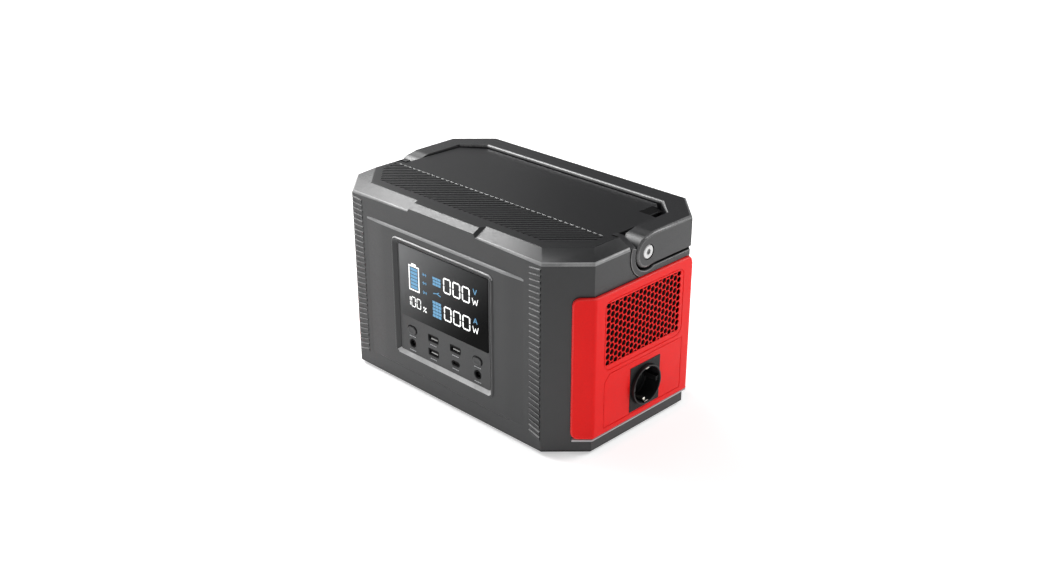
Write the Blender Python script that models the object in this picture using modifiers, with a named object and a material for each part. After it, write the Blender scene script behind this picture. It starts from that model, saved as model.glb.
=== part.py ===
"""Portable power station: housing, folding carry handle, control front, side vents,
earthed mains socket and the parts inside.

Frame: +X to the socket side, -Y to the display side, +Z up, origin on the standing
surface under the middle of the overall box. Lengths below are millimetres and are
scaled by MM, so that the scene is in metres.
"""
import math

import bmesh
import bpy
from mathutils import Matrix, Vector

MM = 0.001

# ---------------------------------------------------------------- driving dimensions
HALF_W = 165.2          # housing, half width
HALF_D = 101.0          # housing, half depth
CHAMFER = 33.4          # vertical corner chamfer, along X and Y
TOP_Z = 202.0           # top of the deck and of the folded handle
FOOT_H = 2.0            # the base stands this far off the surface
BASE_T = 2.4            # base plate
WALL = 3.0              # housing wall
GAP = 0.3               # gap between neighbouring pieces
BEVEL_Z = 194.3         # lower edge of the sloped shoulder
BEVEL_IN = 14.2         # how far the shoulder runs in
BROW_X = 45.0           # half width of the brow in the middle of the front shoulder
BROW_Z = 198.0
BROW_Y = 93.5
SEAM_Y = -20.0          # front and rear housing meet here
LEDGE_Z = 168.2         # ledge under the folded handle
PAD_PROUD = 1.0         # raised field on the front and the back
PAD_X = 104.0
PAD_Z = (23.0, 173.4)

RIDGE_END_Y = -27.0     # the deck's ridges end here, and the smooth rear deck starts
DECK_BACK_Y = 75.1
DECK_BACK_Z = 199.2     # the smooth deck falls gently to here
DECK_HALF_X = 142.6
DECK_T = 3.0
RIDGE_PITCH = 7.1       # along X
RIDGE_W = 2.4
RIDGE_DEPTH = 1.1
RIDGE_ANGLE = 44.5      # degrees from +X

PIVOT_Y = 4.6           # handle pivot
PIVOT_Z = 184.3
BOSS_R = 15.8
POCKET_R = 18.4
HANDLE_OUT = 1.0        # the handle stands this far outside the housing
HANDLE_IN_X = 144.4
HANDLE_IN_Y = 77.1
HANDLE_BOTTOM = 171.5
BOLT_R = 3.2
BOLT_HEAD_R = 7.0

PANEL_PROUD = 3.5       # side panels
PANEL_Z = (18.0, 162.0)
PANEL_WRAP = 14.0       # how far a panel runs round the corner chamfer, along X
VENT_PITCH = 12.86      # vertical pitch of the vent holes
VENT_COL = 11.14        # spacing of the hole columns
VENT_R = 5.0
VENT_Z = 119.0
VENT_COLUMNS = 9

BEZEL_X = 72.0          # frame round the control front
BEZEL_Z = (34.6, 164.8)
BEZEL_PROUD = 1.2
WINDOW_X = 69.3
WINDOW_Z = (37.3, 162.1)
FLOOR_Y = -100.2        # front face of the control panel
PANEL_HALF_X = 64.9
CONTROL_Z = (41.2, 158.3)
LENS_X = 62.8
LENS_Z = (81.0, 157.6)
COL_OUT = 47.2          # outer and inner columns of controls and ports
COL_IN = 16.0
ROW_UP = 68.0
ROW_DOWN = 52.5
BUTTON_Z = 67.0
BUTTON_SIZE = (12.0, 8.0)
BUTTON_TRAVEL = 1.2

SOCKET_Y = 3.4          # earthed mains socket
SOCKET_Z = 49.3
SOCKET_PLATE = (43.5, 47.3)
CUP_R = 18.7            # inside of the round recess
CUP_WALL = 1.6
CUP_DEPTH = 17.5
COLLAR_PROUD = 4.0      # rim stands this far out of the panel
PIN_SPACING = 19.0
PIN_R = 2.6
EARTH_R = 18.2

FAN_Y = 31.0            # cooling fans behind the socket side vent
FAN_SIZE = 60.0
FAN_X = (146.5, 161.5)
FAN_HUB_R = 12.0
FAN_TIP_R = 26.8
FAN_BLADES = 7

CELLS = 8               # prismatic cells
CELL = (17.7, 143.0, 102.0)
CELL_PITCH = 18.2
CELL_X0 = -150.0

SCREW_XY = (143.2, 79.0)
FOOT_XY = (122.0, 60.0)
FOOT_R = 11.0

RIGHT_EDGE = HALF_W + PANEL_PROUD + COLLAR_PROUD
LEFT_EDGE = HALF_W + PANEL_PROUD
FRONT_EDGE = HALF_D + PAD_PROUD + BEZEL_PROUD
BACK_EDGE = HALF_D + PAD_PROUD
CENTRE_X = -(RIGHT_EDGE - LEFT_EDGE) / 2      # puts the origin under the overall box
CENTRE_Y = (FRONT_EDGE - BACK_EDGE) / 2

BASE_Z0 = FOOT_H
BASE_Z1 = FOOT_H + BASE_T
SHELL_Z0 = BASE_Z1 + GAP

# ---------------------------------------------------------------- clean start
for ob in list(bpy.data.objects):
    bpy.data.objects.remove(ob, do_unlink=True)
for block in (bpy.data.meshes, bpy.data.curves, bpy.data.materials):
    for item in list(block):
        block.remove(item)

scene = bpy.context.scene
parts = bpy.data.collections.new("power_station")
cutters = bpy.data.collections.new("cutters")
scene.collection.children.link(parts)
scene.collection.children.link(cutters)

frame = bpy.data.objects.new("frame_origin", None)
frame.location = (CENTRE_X * MM, CENTRE_Y * MM, 0.0)
parts.objects.link(frame)

# ---------------------------------------------------------------- materials
FINISH = {
    "housing": ((0.085, 0.087, 0.09), 0.5, 0.0),
    "deck": ((0.035, 0.036, 0.039), 0.42, 0.0),
    "red": ((0.78, 0.03, 0.03), 0.42, 0.0),
    "black": ((0.012, 0.012, 0.013), 0.5, 0.0),
    "gloss": ((0.01, 0.01, 0.011), 0.08, 0.0),
    "steel": ((0.62, 0.62, 0.62), 0.28, 1.0),
    "brass": ((0.75, 0.58, 0.28), 0.3, 1.0),
    "rubber": ((0.02, 0.02, 0.02), 0.85, 0.0),
    "nylon": ((0.75, 0.75, 0.72), 0.6, 0.0),
    "board": ((0.02, 0.14, 0.05), 0.5, 0.0),
    "alu": ((0.7, 0.7, 0.72), 0.4, 1.0),
    "cell": ((0.05, 0.13, 0.42), 0.45, 0.0),
    "copper": ((0.72, 0.35, 0.2), 0.4, 0.6),
    "lead_red": ((0.6, 0.02, 0.02), 0.5, 0.0),
    "lead_black": ((0.02, 0.02, 0.02), 0.5, 0.0),
}


def finish(name, key):
    colour, rough, metal = FINISH[key]
    m = bpy.data.materials.new(name + "_mat")
    m.use_nodes = True
    bsdf = m.node_tree.nodes["Principled BSDF"]
    bsdf.inputs["Base Color"].default_value = (*colour, 1.0)
    bsdf.inputs["Roughness"].default_value = rough
    bsdf.inputs["Metallic"].default_value = metal
    m.diffuse_color = (*colour, 1.0)
    return m


# ---------------------------------------------------------------- helpers
def add(name, bm, key=None, origin=(0, 0, 0)):
    """Object from a bmesh in millimetres of the housing's frame. With no finish it is
    a cutter or a piece to be joined."""
    bmesh.ops.remove_doubles(bm, verts=bm.verts, dist=1e-4)
    bmesh.ops.recalc_face_normals(bm, faces=bm.faces)
    o = Vector(origin)
    bmesh.ops.transform(bm, matrix=Matrix.Scale(MM, 4) @ Matrix.Translation(-o), verts=bm.verts)
    me = bpy.data.meshes.new(name)
    bm.to_mesh(me)
    bm.free()
    ob = bpy.data.objects.new(name, me)
    ob.location = o * MM
    ob.parent = frame
    if key is None:
        cutters.objects.link(ob)
        ob.hide_render = True
        ob.display_type = "WIRE"
    else:
        parts.objects.link(ob)
        me.materials.append(finish(name, key))
    return ob


def box_bm(lo, hi, bevel=0.0, segments=1, pick=None):
    bm = bmesh.new()
    bmesh.ops.create_cube(bm, size=1.0)
    lo, hi = Vector(lo), Vector(hi)
    size, mid = hi - lo, (hi + lo) / 2
    for v in bm.verts:
        v.co = Vector((v.co.x * size.x, v.co.y * size.y, v.co.z * size.z)) + mid
    if bevel:
        edges = [e for e in bm.edges if pick is None or pick(e)]
        bmesh.ops.bevel(bm, geom=edges, offset=bevel, segments=segments, profile=0.5,
                        affect="EDGES", clamp_overlap=True)
    return bm


def box(name, lo, hi, key=None, bevel=0.0, segments=1, pick=None, origin=(0, 0, 0)):
    return add(name, box_bm(lo, hi, bevel, segments, pick), key, origin)


def evaluated(ob, weld=1e-7):
    """Mesh of a helper object, read once, with its loose caps welded."""
    dg = bpy.context.evaluated_depsgraph_get()
    me = bpy.data.meshes.new_from_object(ob.evaluated_get(dg))
    bm = bmesh.new()
    bm.from_mesh(me)
    bmesh.ops.remove_doubles(bm, verts=bm.verts, dist=weld)
    data = ob.data
    bpy.data.objects.remove(ob, do_unlink=True)
    bpy.data.meshes.remove(me)
    if isinstance(data, bpy.types.Curve):
        bpy.data.curves.remove(data)
    else:
        bpy.data.meshes.remove(data)
    return bm


PLANES = {
    "XY": Matrix(((1, 0, 0, 0), (0, 1, 0, 0), (0, 0, 1, 0), (0, 0, 0, 1))),
    "XZ": Matrix(((1, 0, 0, 0), (0, 0, -1, 0), (0, 1, 0, 0), (0, 0, 0, 1))),
    "YZ": Matrix(((0, 0, 1, 0), (1, 0, 0, 0), (0, 1, 0, 0), (0, 0, 0, 1))),
}
NORMAL = {"XY": Vector((0, 0, 1)), "XZ": Vector((0, 1, 0)), "YZ": Vector((1, 0, 0))}


def outline_bm(loops, lo, hi, plane="XY"):
    """Flat outline (outer loop, then holes) with a thickness from lo to hi."""
    cu = bpy.data.curves.new("outline", "CURVE")
    cu.dimensions = "2D"
    cu.fill_mode = "BOTH"
    cu.extrude = (hi - lo) / 2 * MM
    for loop in loops:
        sp = cu.splines.new("POLY")
        sp.points.add(len(loop) - 1)
        for p, (a, b) in zip(sp.points, loop):
            p.co = (a * MM, b * MM, 0.0, 1.0)
        sp.use_cyclic_u = True
    ob = bpy.data.objects.new("outline", cu)
    scene.collection.objects.link(ob)
    bm = evaluated(ob)
    m = Matrix.Translation(NORMAL[plane] * (lo + hi) / 2) @ PLANES[plane] @ Matrix.Scale(1 / MM, 4)
    bmesh.ops.transform(bm, matrix=m, verts=bm.verts)
    return bm


def outline(name, loops, lo, hi, plane="XY", key=None, origin=(0, 0, 0)):
    return add(name, outline_bm(loops, lo, hi, plane), key, origin)


def turned_bm(profile, axis="X", at=(0, 0, 0), steps=16):
    """Turned solid. The profile is (radius, height) pairs from its top to its bottom."""
    me = bpy.data.meshes.new("profile")
    pts = [(r * MM, 0.0, h * MM) for r, h in profile]
    me.from_pydata(pts, [(i, i + 1) for i in range(len(pts) - 1)], [])
    ob = bpy.data.objects.new("profile", me)
    scene.collection.objects.link(ob)
    sc = ob.modifiers.new("Screw", "SCREW")
    sc.axis = "Z"
    sc.angle = math.tau
    sc.steps = sc.render_steps = steps
    sc.use_merge_vertices = True
    sc.merge_threshold = 1e-6
    bm = evaluated(ob, 1e-6)
    turn = {"Z": Matrix.Identity(4), "X": Matrix.Rotation(math.pi / 2, 4, "Y"),
            "Y": Matrix.Rotation(-math.pi / 2, 4, "X")}[axis]
    bmesh.ops.transform(bm, matrix=Matrix.Translation(Vector(at)) @ turn @ Matrix.Scale(1 / MM, 4),
                        verts=bm.verts)
    return bm


def turned(name, profile, axis="X", at=(0, 0, 0), steps=16, key=None, origin=(0, 0, 0)):
    return add(name, turned_bm(profile, axis, at, steps), key, origin)


def rod(r, a, b):
    return [(0, b), (r, b), (r, a), (0, a)]


def tube(name, pts, r, key=None):
    cu = bpy.data.curves.new(name, "CURVE")
    cu.dimensions = "3D"
    cu.bevel_depth = r * MM
    cu.bevel_resolution = 1
    cu.use_fill_caps = True
    sp = cu.splines.new("POLY")
    sp.points.add(len(pts) - 1)
    for p, co in zip(sp.points, pts):
        p.co = (co[0] * MM, co[1] * MM, co[2] * MM, 1.0)
    ob = bpy.data.objects.new(name + "_path", cu)
    scene.collection.objects.link(ob)
    bm = evaluated(ob, 1e-6)
    bmesh.ops.scale(bm, vec=(1 / MM, 1 / MM, 1 / MM), verts=bm.verts)
    return add(name, bm, key)


def boolean(ob, other, op):
    mod = ob.modifiers.new(op.title(), "BOOLEAN")
    mod.operation = op
    mod.solver = "EXACT"
    mod.object = other
    return ob


def cut(ob, *others):
    for o in others:
        boolean(ob, o, "DIFFERENCE")
    return ob


def join(ob, *others):
    for o in others:
        boolean(ob, o, "UNION")
    return ob


def rrect(x0, y0, x1, y1, r, n=3):
    """Rectangle with rounded corners, n steps a corner."""
    out = []
    for cx, cy, a0 in ((x1 - r, y1 - r, 0), (x0 + r, y1 - r, 90), (x0 + r, y0 + r, 180), (x1 - r, y0 + r, 270)):
        for i in range(n + 1):
            a = math.radians(a0 + 90 * i / n)
            out.append((cx + r * math.cos(a), cy + r * math.sin(a)))
    return out


def ngon(cx, cy, r, n, start=0.0):
    return [(cx + r * math.cos(start + math.tau * i / n), cy + r * math.sin(start + math.tau * i / n))
            for i in range(n)]


def mirror_x(pts):
    """Closes a right half outline with its mirror image."""
    return pts + [(-x, y) for x, y in reversed(pts)]


# ---------------------------------------------------------------- base plate, feet, screws
octagon = [(HALF_W, -(HALF_D - CHAMFER)), (HALF_W, HALF_D - CHAMFER), (HALF_W - CHAMFER, HALF_D),
           (-(HALF_W - CHAMFER), HALF_D), (-HALF_W, HALF_D - CHAMFER), (-HALF_W, -(HALF_D - CHAMFER)),
           (-(HALF_W - CHAMFER), -HALF_D), (HALF_W - CHAMFER, -HALF_D)]
bm = outline_bm([octagon], BASE_Z0, BASE_Z1)
bmesh.ops.dissolve_limit(bm, angle_limit=0.01, verts=bm.verts, edges=bm.edges)
low = [e for e in bm.edges if all(abs(v.co.z - BASE_Z0) < 1e-3 for v in e.verts) and len(e.link_faces) == 2
       and any(abs(f.normal.z) < 0.5 for f in e.link_faces)]
bmesh.ops.bevel(bm, geom=low, offset=1.8, segments=1, profile=0.5, affect="EDGES")
base = add("bottom_cover", bm, "housing")
screw_spots = [(sx * SCREW_XY[0], sy * SCREW_XY[1]) for sx in (1, -1) for sy in (1, -1)]
for i, (x, y) in enumerate(screw_spots, 1):
    cut(base, turned(f"screw_hole_{i}", [(0, 6), (2.0, 6), (2.0, 4.1), (4.2, 2.2), (4.2, 1.5), (0, 1.5)], "Z", (x, y, 0), 12))
    turned(f"base_screw_{i}", [(0, 17), (1.5, 17), (1.5, 4.0), (3.6, 2.35), (1.2, 2.35), (0, 3.0)], "Z", (x, y, 0), 10,
           "steel")
post_feet = [(20, -62), (108, -62), (20, 62), (108, 62)]
for i, (x, y) in enumerate(post_feet, 1):
    join(base, turned(f"board_post_{i}", rod(3.5, 3.5, 11.0), "Z", (x, y, 0), 8))
for i, (x, y) in enumerate([(sx * FOOT_XY[0], sy * FOOT_XY[1]) for sx in (1, -1) for sy in (1, -1)], 1):
    turned(f"foot_{i}", [(0, 1.7), (FOOT_R, 1.7), (FOOT_R, 0.8), (FOOT_R - 0.8, 0), (0, 0)], "Z", (x, y, 0), 16, "rubber")

# ---------------------------------------------------------------- front housing
upper_x, upper_y = HALF_W - BEVEL_IN + 0.2, HALF_D - BEVEL_IN - 0.1
UPPER_X = 151.2
UPPER_Y = 86.7
UPPER_CH = 33.1
low_line = [(HALF_W, SEAM_Y, BEVEL_Z), (HALF_W, -(HALF_D - CHAMFER), BEVEL_Z), (HALF_W - CHAMFER, -HALF_D, BEVEL_Z),
            (BROW_X + 5, -HALF_D, BEVEL_Z), (BROW_X, -HALF_D, BROW_Z)]
top_line = [(UPPER_X, SEAM_Y), (UPPER_X, -(UPPER_Y - UPPER_CH)), (UPPER_X - UPPER_CH, -UPPER_Y),
            (BROW_X + 6, -UPPER_Y), (BROW_X, -BROW_Y)]
low_line += [(-x, y, z) for x, y, z in reversed(low_line)]
top_line += [(-x, y) for x, y in reversed(top_line)]

bm = bmesh.new()
foot = [bm.verts.new((x, y, SHELL_Z0)) for x, y, z in low_line]
edges = [bm.edges.new((a, b)) for a, b in zip(foot, foot[1:])]
step = bmesh.ops.extrude_edge_only(bm, edges=edges)
up = [g for g in step["geom"] if isinstance(g, bmesh.types.BMVert)]
for v in up:
    x, y, z = min(low_line, key=lambda p: (p[0] - v.co.x) ** 2 + (p[1] - v.co.y) ** 2)
    v.co.z = z
edges = [g for g in step["geom"] if isinstance(g, bmesh.types.BMEdge)]
step = bmesh.ops.extrude_edge_only(bm, edges=edges)
for v in [g for g in step["geom"] if isinstance(g, bmesh.types.BMVert)]:
    i = min(range(len(low_line)), key=lambda k: (low_line[k][0] - v.co.x) ** 2 + (low_line[k][1] - v.co.y) ** 2)
    v.co = (top_line[i][0], top_line[i][1], TOP_Z)
bmesh.ops.recalc_face_normals(bm, faces=bm.faces)
if sum(f.normal.y * (f.calc_center_median().y + 50) for f in bm.faces) < 0:
    bmesh.ops.reverse_faces(bm, faces=bm.faces)


def shell(name, bm, key):
    """Open surface with its normals out, given a wall."""
    bmesh.ops.transform(bm, matrix=Matrix.Scale(MM, 4), verts=bm.verts)
    me = bpy.data.meshes.new(name)
    bm.to_mesh(me)
    bm.free()
    ob = bpy.data.objects.new(name, me)
    ob.parent = frame
    parts.objects.link(ob)
    me.materials.append(finish(name, key))
    so = ob.modifiers.new("Wall", "SOLIDIFY")
    so.thickness = WALL * MM
    so.offset = -1.0
    so.use_even_offset = True
    so.use_quality_normals = True
    return ob


front = shell("front_housing", bm, "housing")
grow = 1.0004
mouth = [(x * grow, y * grow) for x, y in top_line]
mouth = [(mouth[0][0], -5.0)] + mouth + [(mouth[-1][0], -5.0)]
cut(front, outline("deck_mouth", [mouth], 185, 215))

def pad_bm(side):
    top = PAD_Z[1] if side < 0 else LEDGE_Z - 2.5
    bm = outline_bm([rrect(-PAD_X, PAD_Z[0], PAD_X, top, 6, 3)], 0, 2.0 + PAD_PROUD, "XZ")
    bmesh.ops.dissolve_limit(bm, angle_limit=0.01, verts=bm.verts, edges=bm.edges)
    rim = [e for e in bm.edges if all(abs(v.co.y) < 1e-3 for v in e.verts)]
    bmesh.ops.bevel(bm, geom=rim, offset=PAD_PROUD * 0.9, segments=1, profile=0.5, affect="EDGES")
    if side < 0:
        bmesh.ops.translate(bm, vec=(0, -(HALF_D + PAD_PROUD), 0), verts=bm.verts)
    else:
        bmesh.ops.rotate(bm, cent=(0, 0, 0), matrix=Matrix.Rotation(math.pi, 3, "Z"), verts=bm.verts)
        bmesh.ops.translate(bm, vec=(0, HALF_D + PAD_PROUD, 0), verts=bm.verts)
    return bm


join(front, add("front_pad", pad_bm(-1)))
for s, tag in ((1, "r"), (-1, "l")):
    join(front, turned(f"front_post_{tag}", rod(5.5, SHELL_Z0, 40), "Z", (s * SCREW_XY[0], -SCREW_XY[1], 0), 12))
window = rrect(-WINDOW_X, WINDOW_Z[0], WINDOW_X, WINDOW_Z[1], 5, 3)
cut(front, outline("control_window", [window], -HALF_D - 8, -HALF_D + 12, "XZ"))
for s, tag in ((1, "r"), (-1, "l")):
    cut(front, turned(f"front_pilot_{tag}", rod(1.8, 2, 22), "Z", (s * SCREW_XY[0], -SCREW_XY[1], 0), 8))
    lo, hi = (145, -52, 86), (175, -10, 152)
    if s < 0:
        lo, hi = (-175, -52, 86), (-145, -10, 152)
    cut(front, box(f"front_vent_window_{tag}", lo, hi))

# ---------------------------------------------------------------- rear housing
rear_line = [(HALF_W, SEAM_Y + GAP), (HALF_W, HALF_D - CHAMFER), (HALF_W - CHAMFER, HALF_D)]
ledge_line = [(126, SEAM_Y + GAP), (126, 38), (104, 62)]
rear_line += [(-x, y) for x, y in reversed(rear_line)]
ledge_line += [(-x, y) for x, y in reversed(ledge_line)]
bm = bmesh.new()
foot = [bm.verts.new((x, y, SHELL_Z0)) for x, y in rear_line]
edges = [bm.edges.new((a, b)) for a, b in zip(foot, foot[1:])]
step = bmesh.ops.extrude_edge_only(bm, edges=edges)
for v in [g for g in step["geom"] if isinstance(g, bmesh.types.BMVert)]:
    v.co.z = LEDGE_Z
edges = [g for g in step["geom"] if isinstance(g, bmesh.types.BMEdge)]
step = bmesh.ops.extrude_edge_only(bm, edges=edges)
for v in [g for g in step["geom"] if isinstance(g, bmesh.types.BMVert)]:
    i = min(range(len(rear_line)), key=lambda k: (rear_line[k][0] - v.co.x) ** 2 + (rear_line[k][1] - v.co.y) ** 2)
    v.co = (ledge_line[i][0], ledge_line[i][1], LEDGE_Z)
bmesh.ops.recalc_face_normals(bm, faces=bm.faces)
if sum(f.normal.z for f in bm.faces) < 0:
    bmesh.ops.reverse_faces(bm, faces=bm.faces)
rear = shell("rear_housing", bm, "housing")
join(rear, add("rear_pad", pad_bm(1)))
for s, tag in ((1, "r"), (-1, "l")):
    join(rear, turned(f"rear_post_{tag}", rod(5.5, SHELL_Z0, 40), "Z", (s * SCREW_XY[0], SCREW_XY[1], 0), 12))
    cut(rear, turned(f"rear_pilot_{tag}", rod(1.8, 2, 22), "Z", (s * SCREW_XY[0], SCREW_XY[1], 0), 8))
    lo, hi = (145, -30, 86), (175, 52, 152)
    if s < 0:
        lo, hi = (-175, -30, 86), (-145, 52, 152)
    cut(rear, box(f"rear_vent_window_{tag}", lo, hi))
cut(rear, turned("socket_window", rod(20.9, 140, 175), "X", (0, SOCKET_Y, SOCKET_Z), 20))

# ---------------------------------------------------------------- top cover: deck and skirt
g = GAP
deck_right = [(DECK_HALF_X, SEAM_Y - 0.2), (UPPER_X - g, SEAM_Y - 0.2), (UPPER_X - g, -(UPPER_Y - UPPER_CH) - 0.1),
              (UPPER_X - UPPER_CH + 0.1, -UPPER_Y + g), (BROW_X + 6.2, -UPPER_Y + g), (BROW_X + 0.2, -BROW_Y + g)]
notch = [(117.0, DECK_BACK_Y), (130.5, 61.0), (130.5, 46.5), (DECK_HALF_X, 44.0)]
deck_loop = (notch + deck_right + [(-x, y) for x, y in reversed(deck_right)]
             + [(-DECK_HALF_X, 56.6), (-119.5, DECK_BACK_Y)])
deck = outline("top_cover", [deck_loop], 150, 215, "XY", "deck")
fall = [(-96, TOP_Z), (RIDGE_END_Y, TOP_Z), (80, DECK_BACK_Z - 0.1), (80, DECK_BACK_Z - DECK_T - 0.1),
        (RIDGE_END_Y, TOP_Z - DECK_T), (-96, TOP_Z - DECK_T)]
boolean(deck, outline("deck_fall", [fall], -160, 160, "YZ"), "INTERSECT")
skirt_start = 22.5
skirt = ([(DECK_HALF_X, skirt_start), (DECK_HALF_X, 44.0), (130.5, 46.5), (130.5, 61.0), (117.0, DECK_BACK_Y),
          (-119.5, DECK_BACK_Y), (-DECK_HALF_X, 56.6), (-DECK_HALF_X, skirt_start)]
         + [(-140.1, skirt_start), (-140.1, 55.4), (-118.6, 72.6), (115.9, 72.6), (128.0, 60.0), (128.0, 44.4),
            (140.1, 41.9), (140.1, skirt_start)])
join(deck, outline("deck_skirt", [skirt], LEDGE_Z + GAP, 198.0))
a = math.radians(RIDGE_ANGLE)
groove_loops = []
front_y, back_y = -75.0, RIDGE_END_Y - 1.0
for k in range(-26, 27):
    x_back = k * RIDGE_PITCH
    x_front = x_back - (back_y - front_y) / math.tan(a)
    # the field's slanted ends
    lim_l = (-147.0, -27.0, -128.0, -66.0)
    t0, t1 = 0.0, 1.0
    pts = []
    for n in range(41):
        t = n / 40
        x = x_front + (x_back - x_front) * t
        y = front_y + (back_y - front_y) * t
        left = -147.0 + (y + 27.0) / (-66.0 + 27.0) * 19.0 if y > -66 else -128.0 + (-66.0 - y) * 1.6
        if left < x < -left:
            pts.append((x, y))
    if len(pts) < 4:
        continue
    (xa, ya), (xb, yb) = pts[0], pts[-1]
    if math.hypot(xb - xa, yb - ya) < 4:
        continue
    nx, ny = -math.sin(a) * RIDGE_W / 2, math.cos(a) * RIDGE_W / 2
    groove_loops.append([(xa - nx, ya - ny), (xb - nx, yb - ny), (xb + nx, yb + ny), (xa + nx, ya + ny)])
cut(deck, outline("deck_grooves", groove_loops, TOP_Z - RIDGE_DEPTH, TOP_Z + 5))

# ---------------------------------------------------------------- handle, pivots
out_x, out_y = HALF_W + HANDLE_OUT, HALF_D + HANDLE_OUT
corner = CHAMFER - HANDLE_OUT * (2 - math.sqrt(2)) * 0 - 0.0
plan = [(out_x, -18.0), (out_x, HALF_D - CHAMFER + 0.41 * HANDLE_OUT), (HALF_W - CHAMFER + 0.41 * HANDLE_OUT, out_y)]
plan_in = [(HANDLE_IN_X, -18.0), (HANDLE_IN_X, 58.2), (120.8, HANDLE_IN_Y)]
loop = plan + [(-x, y) for x, y in reversed(plan)] + [(-x, y) for x, y in plan_in] + list(reversed(plan_in))
handle = outline("handle", [loop], 160, TOP_Z, "XY", "housing", (0, PIVOT_Y, PIVOT_Z))
side = [(PIVOT_Y + BOSS_R * math.cos(t), PIVOT_Z + BOSS_R * math.sin(t))
        for t in [math.radians(-90 - 180 * i / 12) for i in range(13)]]
side = side + [(14.0, TOP_Z), (120.0, TOP_Z), (120.0, HANDLE_BOTTOM), (14.0, HANDLE_BOTTOM)]
boolean(handle, outline("handle_side", [side], -180, 180, "YZ"), "INTERSECT")
for s, tag in ((1, "right"), (-1, "left")):
    at = (0, PIVOT_Y, PIVOT_Z)
    x_face = out_x

    def span(lo, hi):
        return (lo, hi) if s > 0 else (-hi, -lo)

    cut(handle, turned(f"handle_bore_{tag}", rod(BOLT_R + 0.3, *span(140, 172)), "X", at, 16))
    cut(handle, turned(f"handle_counterbore_{tag}", rod(BOLT_HEAD_R + 0.4, *span(x_face - 2.9, 172)), "X", at, 20))
    # shoulder bolt with a hexagon socket
    prof = [(0, 163.6 + 2.5), (6.2, 163.6 + 2.5), (BOLT_HEAD_R, 163.6 + 1.7), (BOLT_HEAD_R, 163.6), (BOLT_R, 163.6),
            (BOLT_R, 134.0), (0, 134.0)]
    if s < 0:
        prof = [(r, -h) for r, h in reversed(prof)]
    bolt = turned(f"handle_bolt_{tag}", prof, "X", at, 16, "steel")
    cut(bolt, outline(f"bolt_hex_{tag}", [ngon(PIVOT_Y, PIVOT_Z, 2.9, 6)], *span(164.2, 168), "YZ"))
    lo, hi = span(143.5, 144.1)
    turned(f"handle_washer_{tag}", [(8.5, hi), (8.5, lo), (BOLT_R + 0.3, lo), (BOLT_R + 0.3, hi), (8.5, hi)], "X", at, 20, "nylon")
    # bracket: floor plate behind the arm and the collar in front of the boss
    prof = [(139.3, LEDGE_Z + GAP), (HALF_W, LEDGE_Z + GAP), (HALF_W, BEVEL_Z), (UPPER_X, TOP_Z), (142.9, TOP_Z),
            (142.9, 197.2), (139.3, 197.2)]
    prof = [(s * x, z) for x, z in prof]
    bracket = outline(f"hinge_bracket_{tag}", [prof], SEAM_Y + GAP, 22.2, "XZ", "housing")
    arc = [(PIVOT_Y + POCKET_R * math.cos(t), PIVOT_Z + POCKET_R * math.sin(t))
           for t in [math.radians(-90 - 90 * i / 6) for i in range(7)]]
    pocket = arc + [(PIVOT_Y - POCKET_R, 215), (40, 215), (40, 150), (PIVOT_Y, 150)]
    cut(bracket, outline(f"bracket_pocket_{tag}", [pocket], *span(143.2, 175), "YZ"))
    lo, hi = span(142.4, 175)
    cut(bracket, box(f"bracket_step_{tag}", (lo, PIVOT_Y - POCKET_R, 197.2), (hi, 40, 215)))
    join(bracket, turned(f"bracket_boss_{tag}", rod(7.5, *span(133.0, 140.5)), "X", at, 16))
    cut(bracket, turned(f"bracket_bore_{tag}", rod(BOLT_R + 0.3, *span(130, 150)), "X", at, 16))

# ---------------------------------------------------------------- side panels
def offset_side(o):
    d = math.sqrt(0.5) * o
    return [(HALF_W - PANEL_WRAP + d, -(HALF_D - CHAMFER) - PANEL_WRAP - d), (HALF_W + o, -(HALF_D - CHAMFER) - 0.414 * o)]


def vent_loops():
    """Round holes on a triangular grid inside the embossed field."""
    loops = []
    for c in range(VENT_COLUMNS):
        y = (c - (VENT_COLUMNS - 1) / 2) * VENT_COL
        shift = 0.5 if c % 2 else 0.0
        for r in range(-3, 4):
            z = VENT_Z + (r + shift) * VENT_PITCH
            if abs(z - VENT_Z) + VENT_R < 35.5:
                loops.append(ngon(y, z, VENT_R, 6, math.pi / 6))
    return loops


for s, tag in ((1, "right"), (-1, "left")):
    inner, outer = offset_side(GAP), offset_side(PANEL_PROUD)
    strip = (inner + [(x, -y) for x, y in reversed(inner)] + [(x, -y) for x, y in outer] + list(reversed(outer)))
    bm = outline_bm([[(s * x, y) for x, y in strip]], PANEL_Z[0], PANEL_Z[1])
    bmesh.ops.dissolve_limit(bm, angle_limit=0.01, verts=bm.verts, edges=bm.edges)
    ends = []
    for e in bm.edges:
        p, q = e.verts[0].co, e.verts[1].co
        if abs(p.z - q.z) < 1e-3 and abs(abs(p.y) - 83) < 2.5 and abs(abs(q.y) - 83) < 2.5:
            ends.append(e)
    bmesh.ops.bevel(bm, geom=ends, offset=7.0, segments=3, profile=0.5, affect="EDGES")
    panel = add(f"side_panel_{tag}", bm, "red")
    span = (160, 175) if s > 0 else (-175, -160)
    cut(panel, outline(f"vent_holes_{tag}", vent_loops(), *span, "YZ"))
    if s > 0:
        w, h = SOCKET_PLATE[0] / 2 + GAP, SOCKET_PLATE[1] / 2 + GAP
        cut(panel, box("socket_opening", (160, SOCKET_Y - w, SOCKET_Z - h), (175, SOCKET_Y + w, SOCKET_Z + h)))

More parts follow.
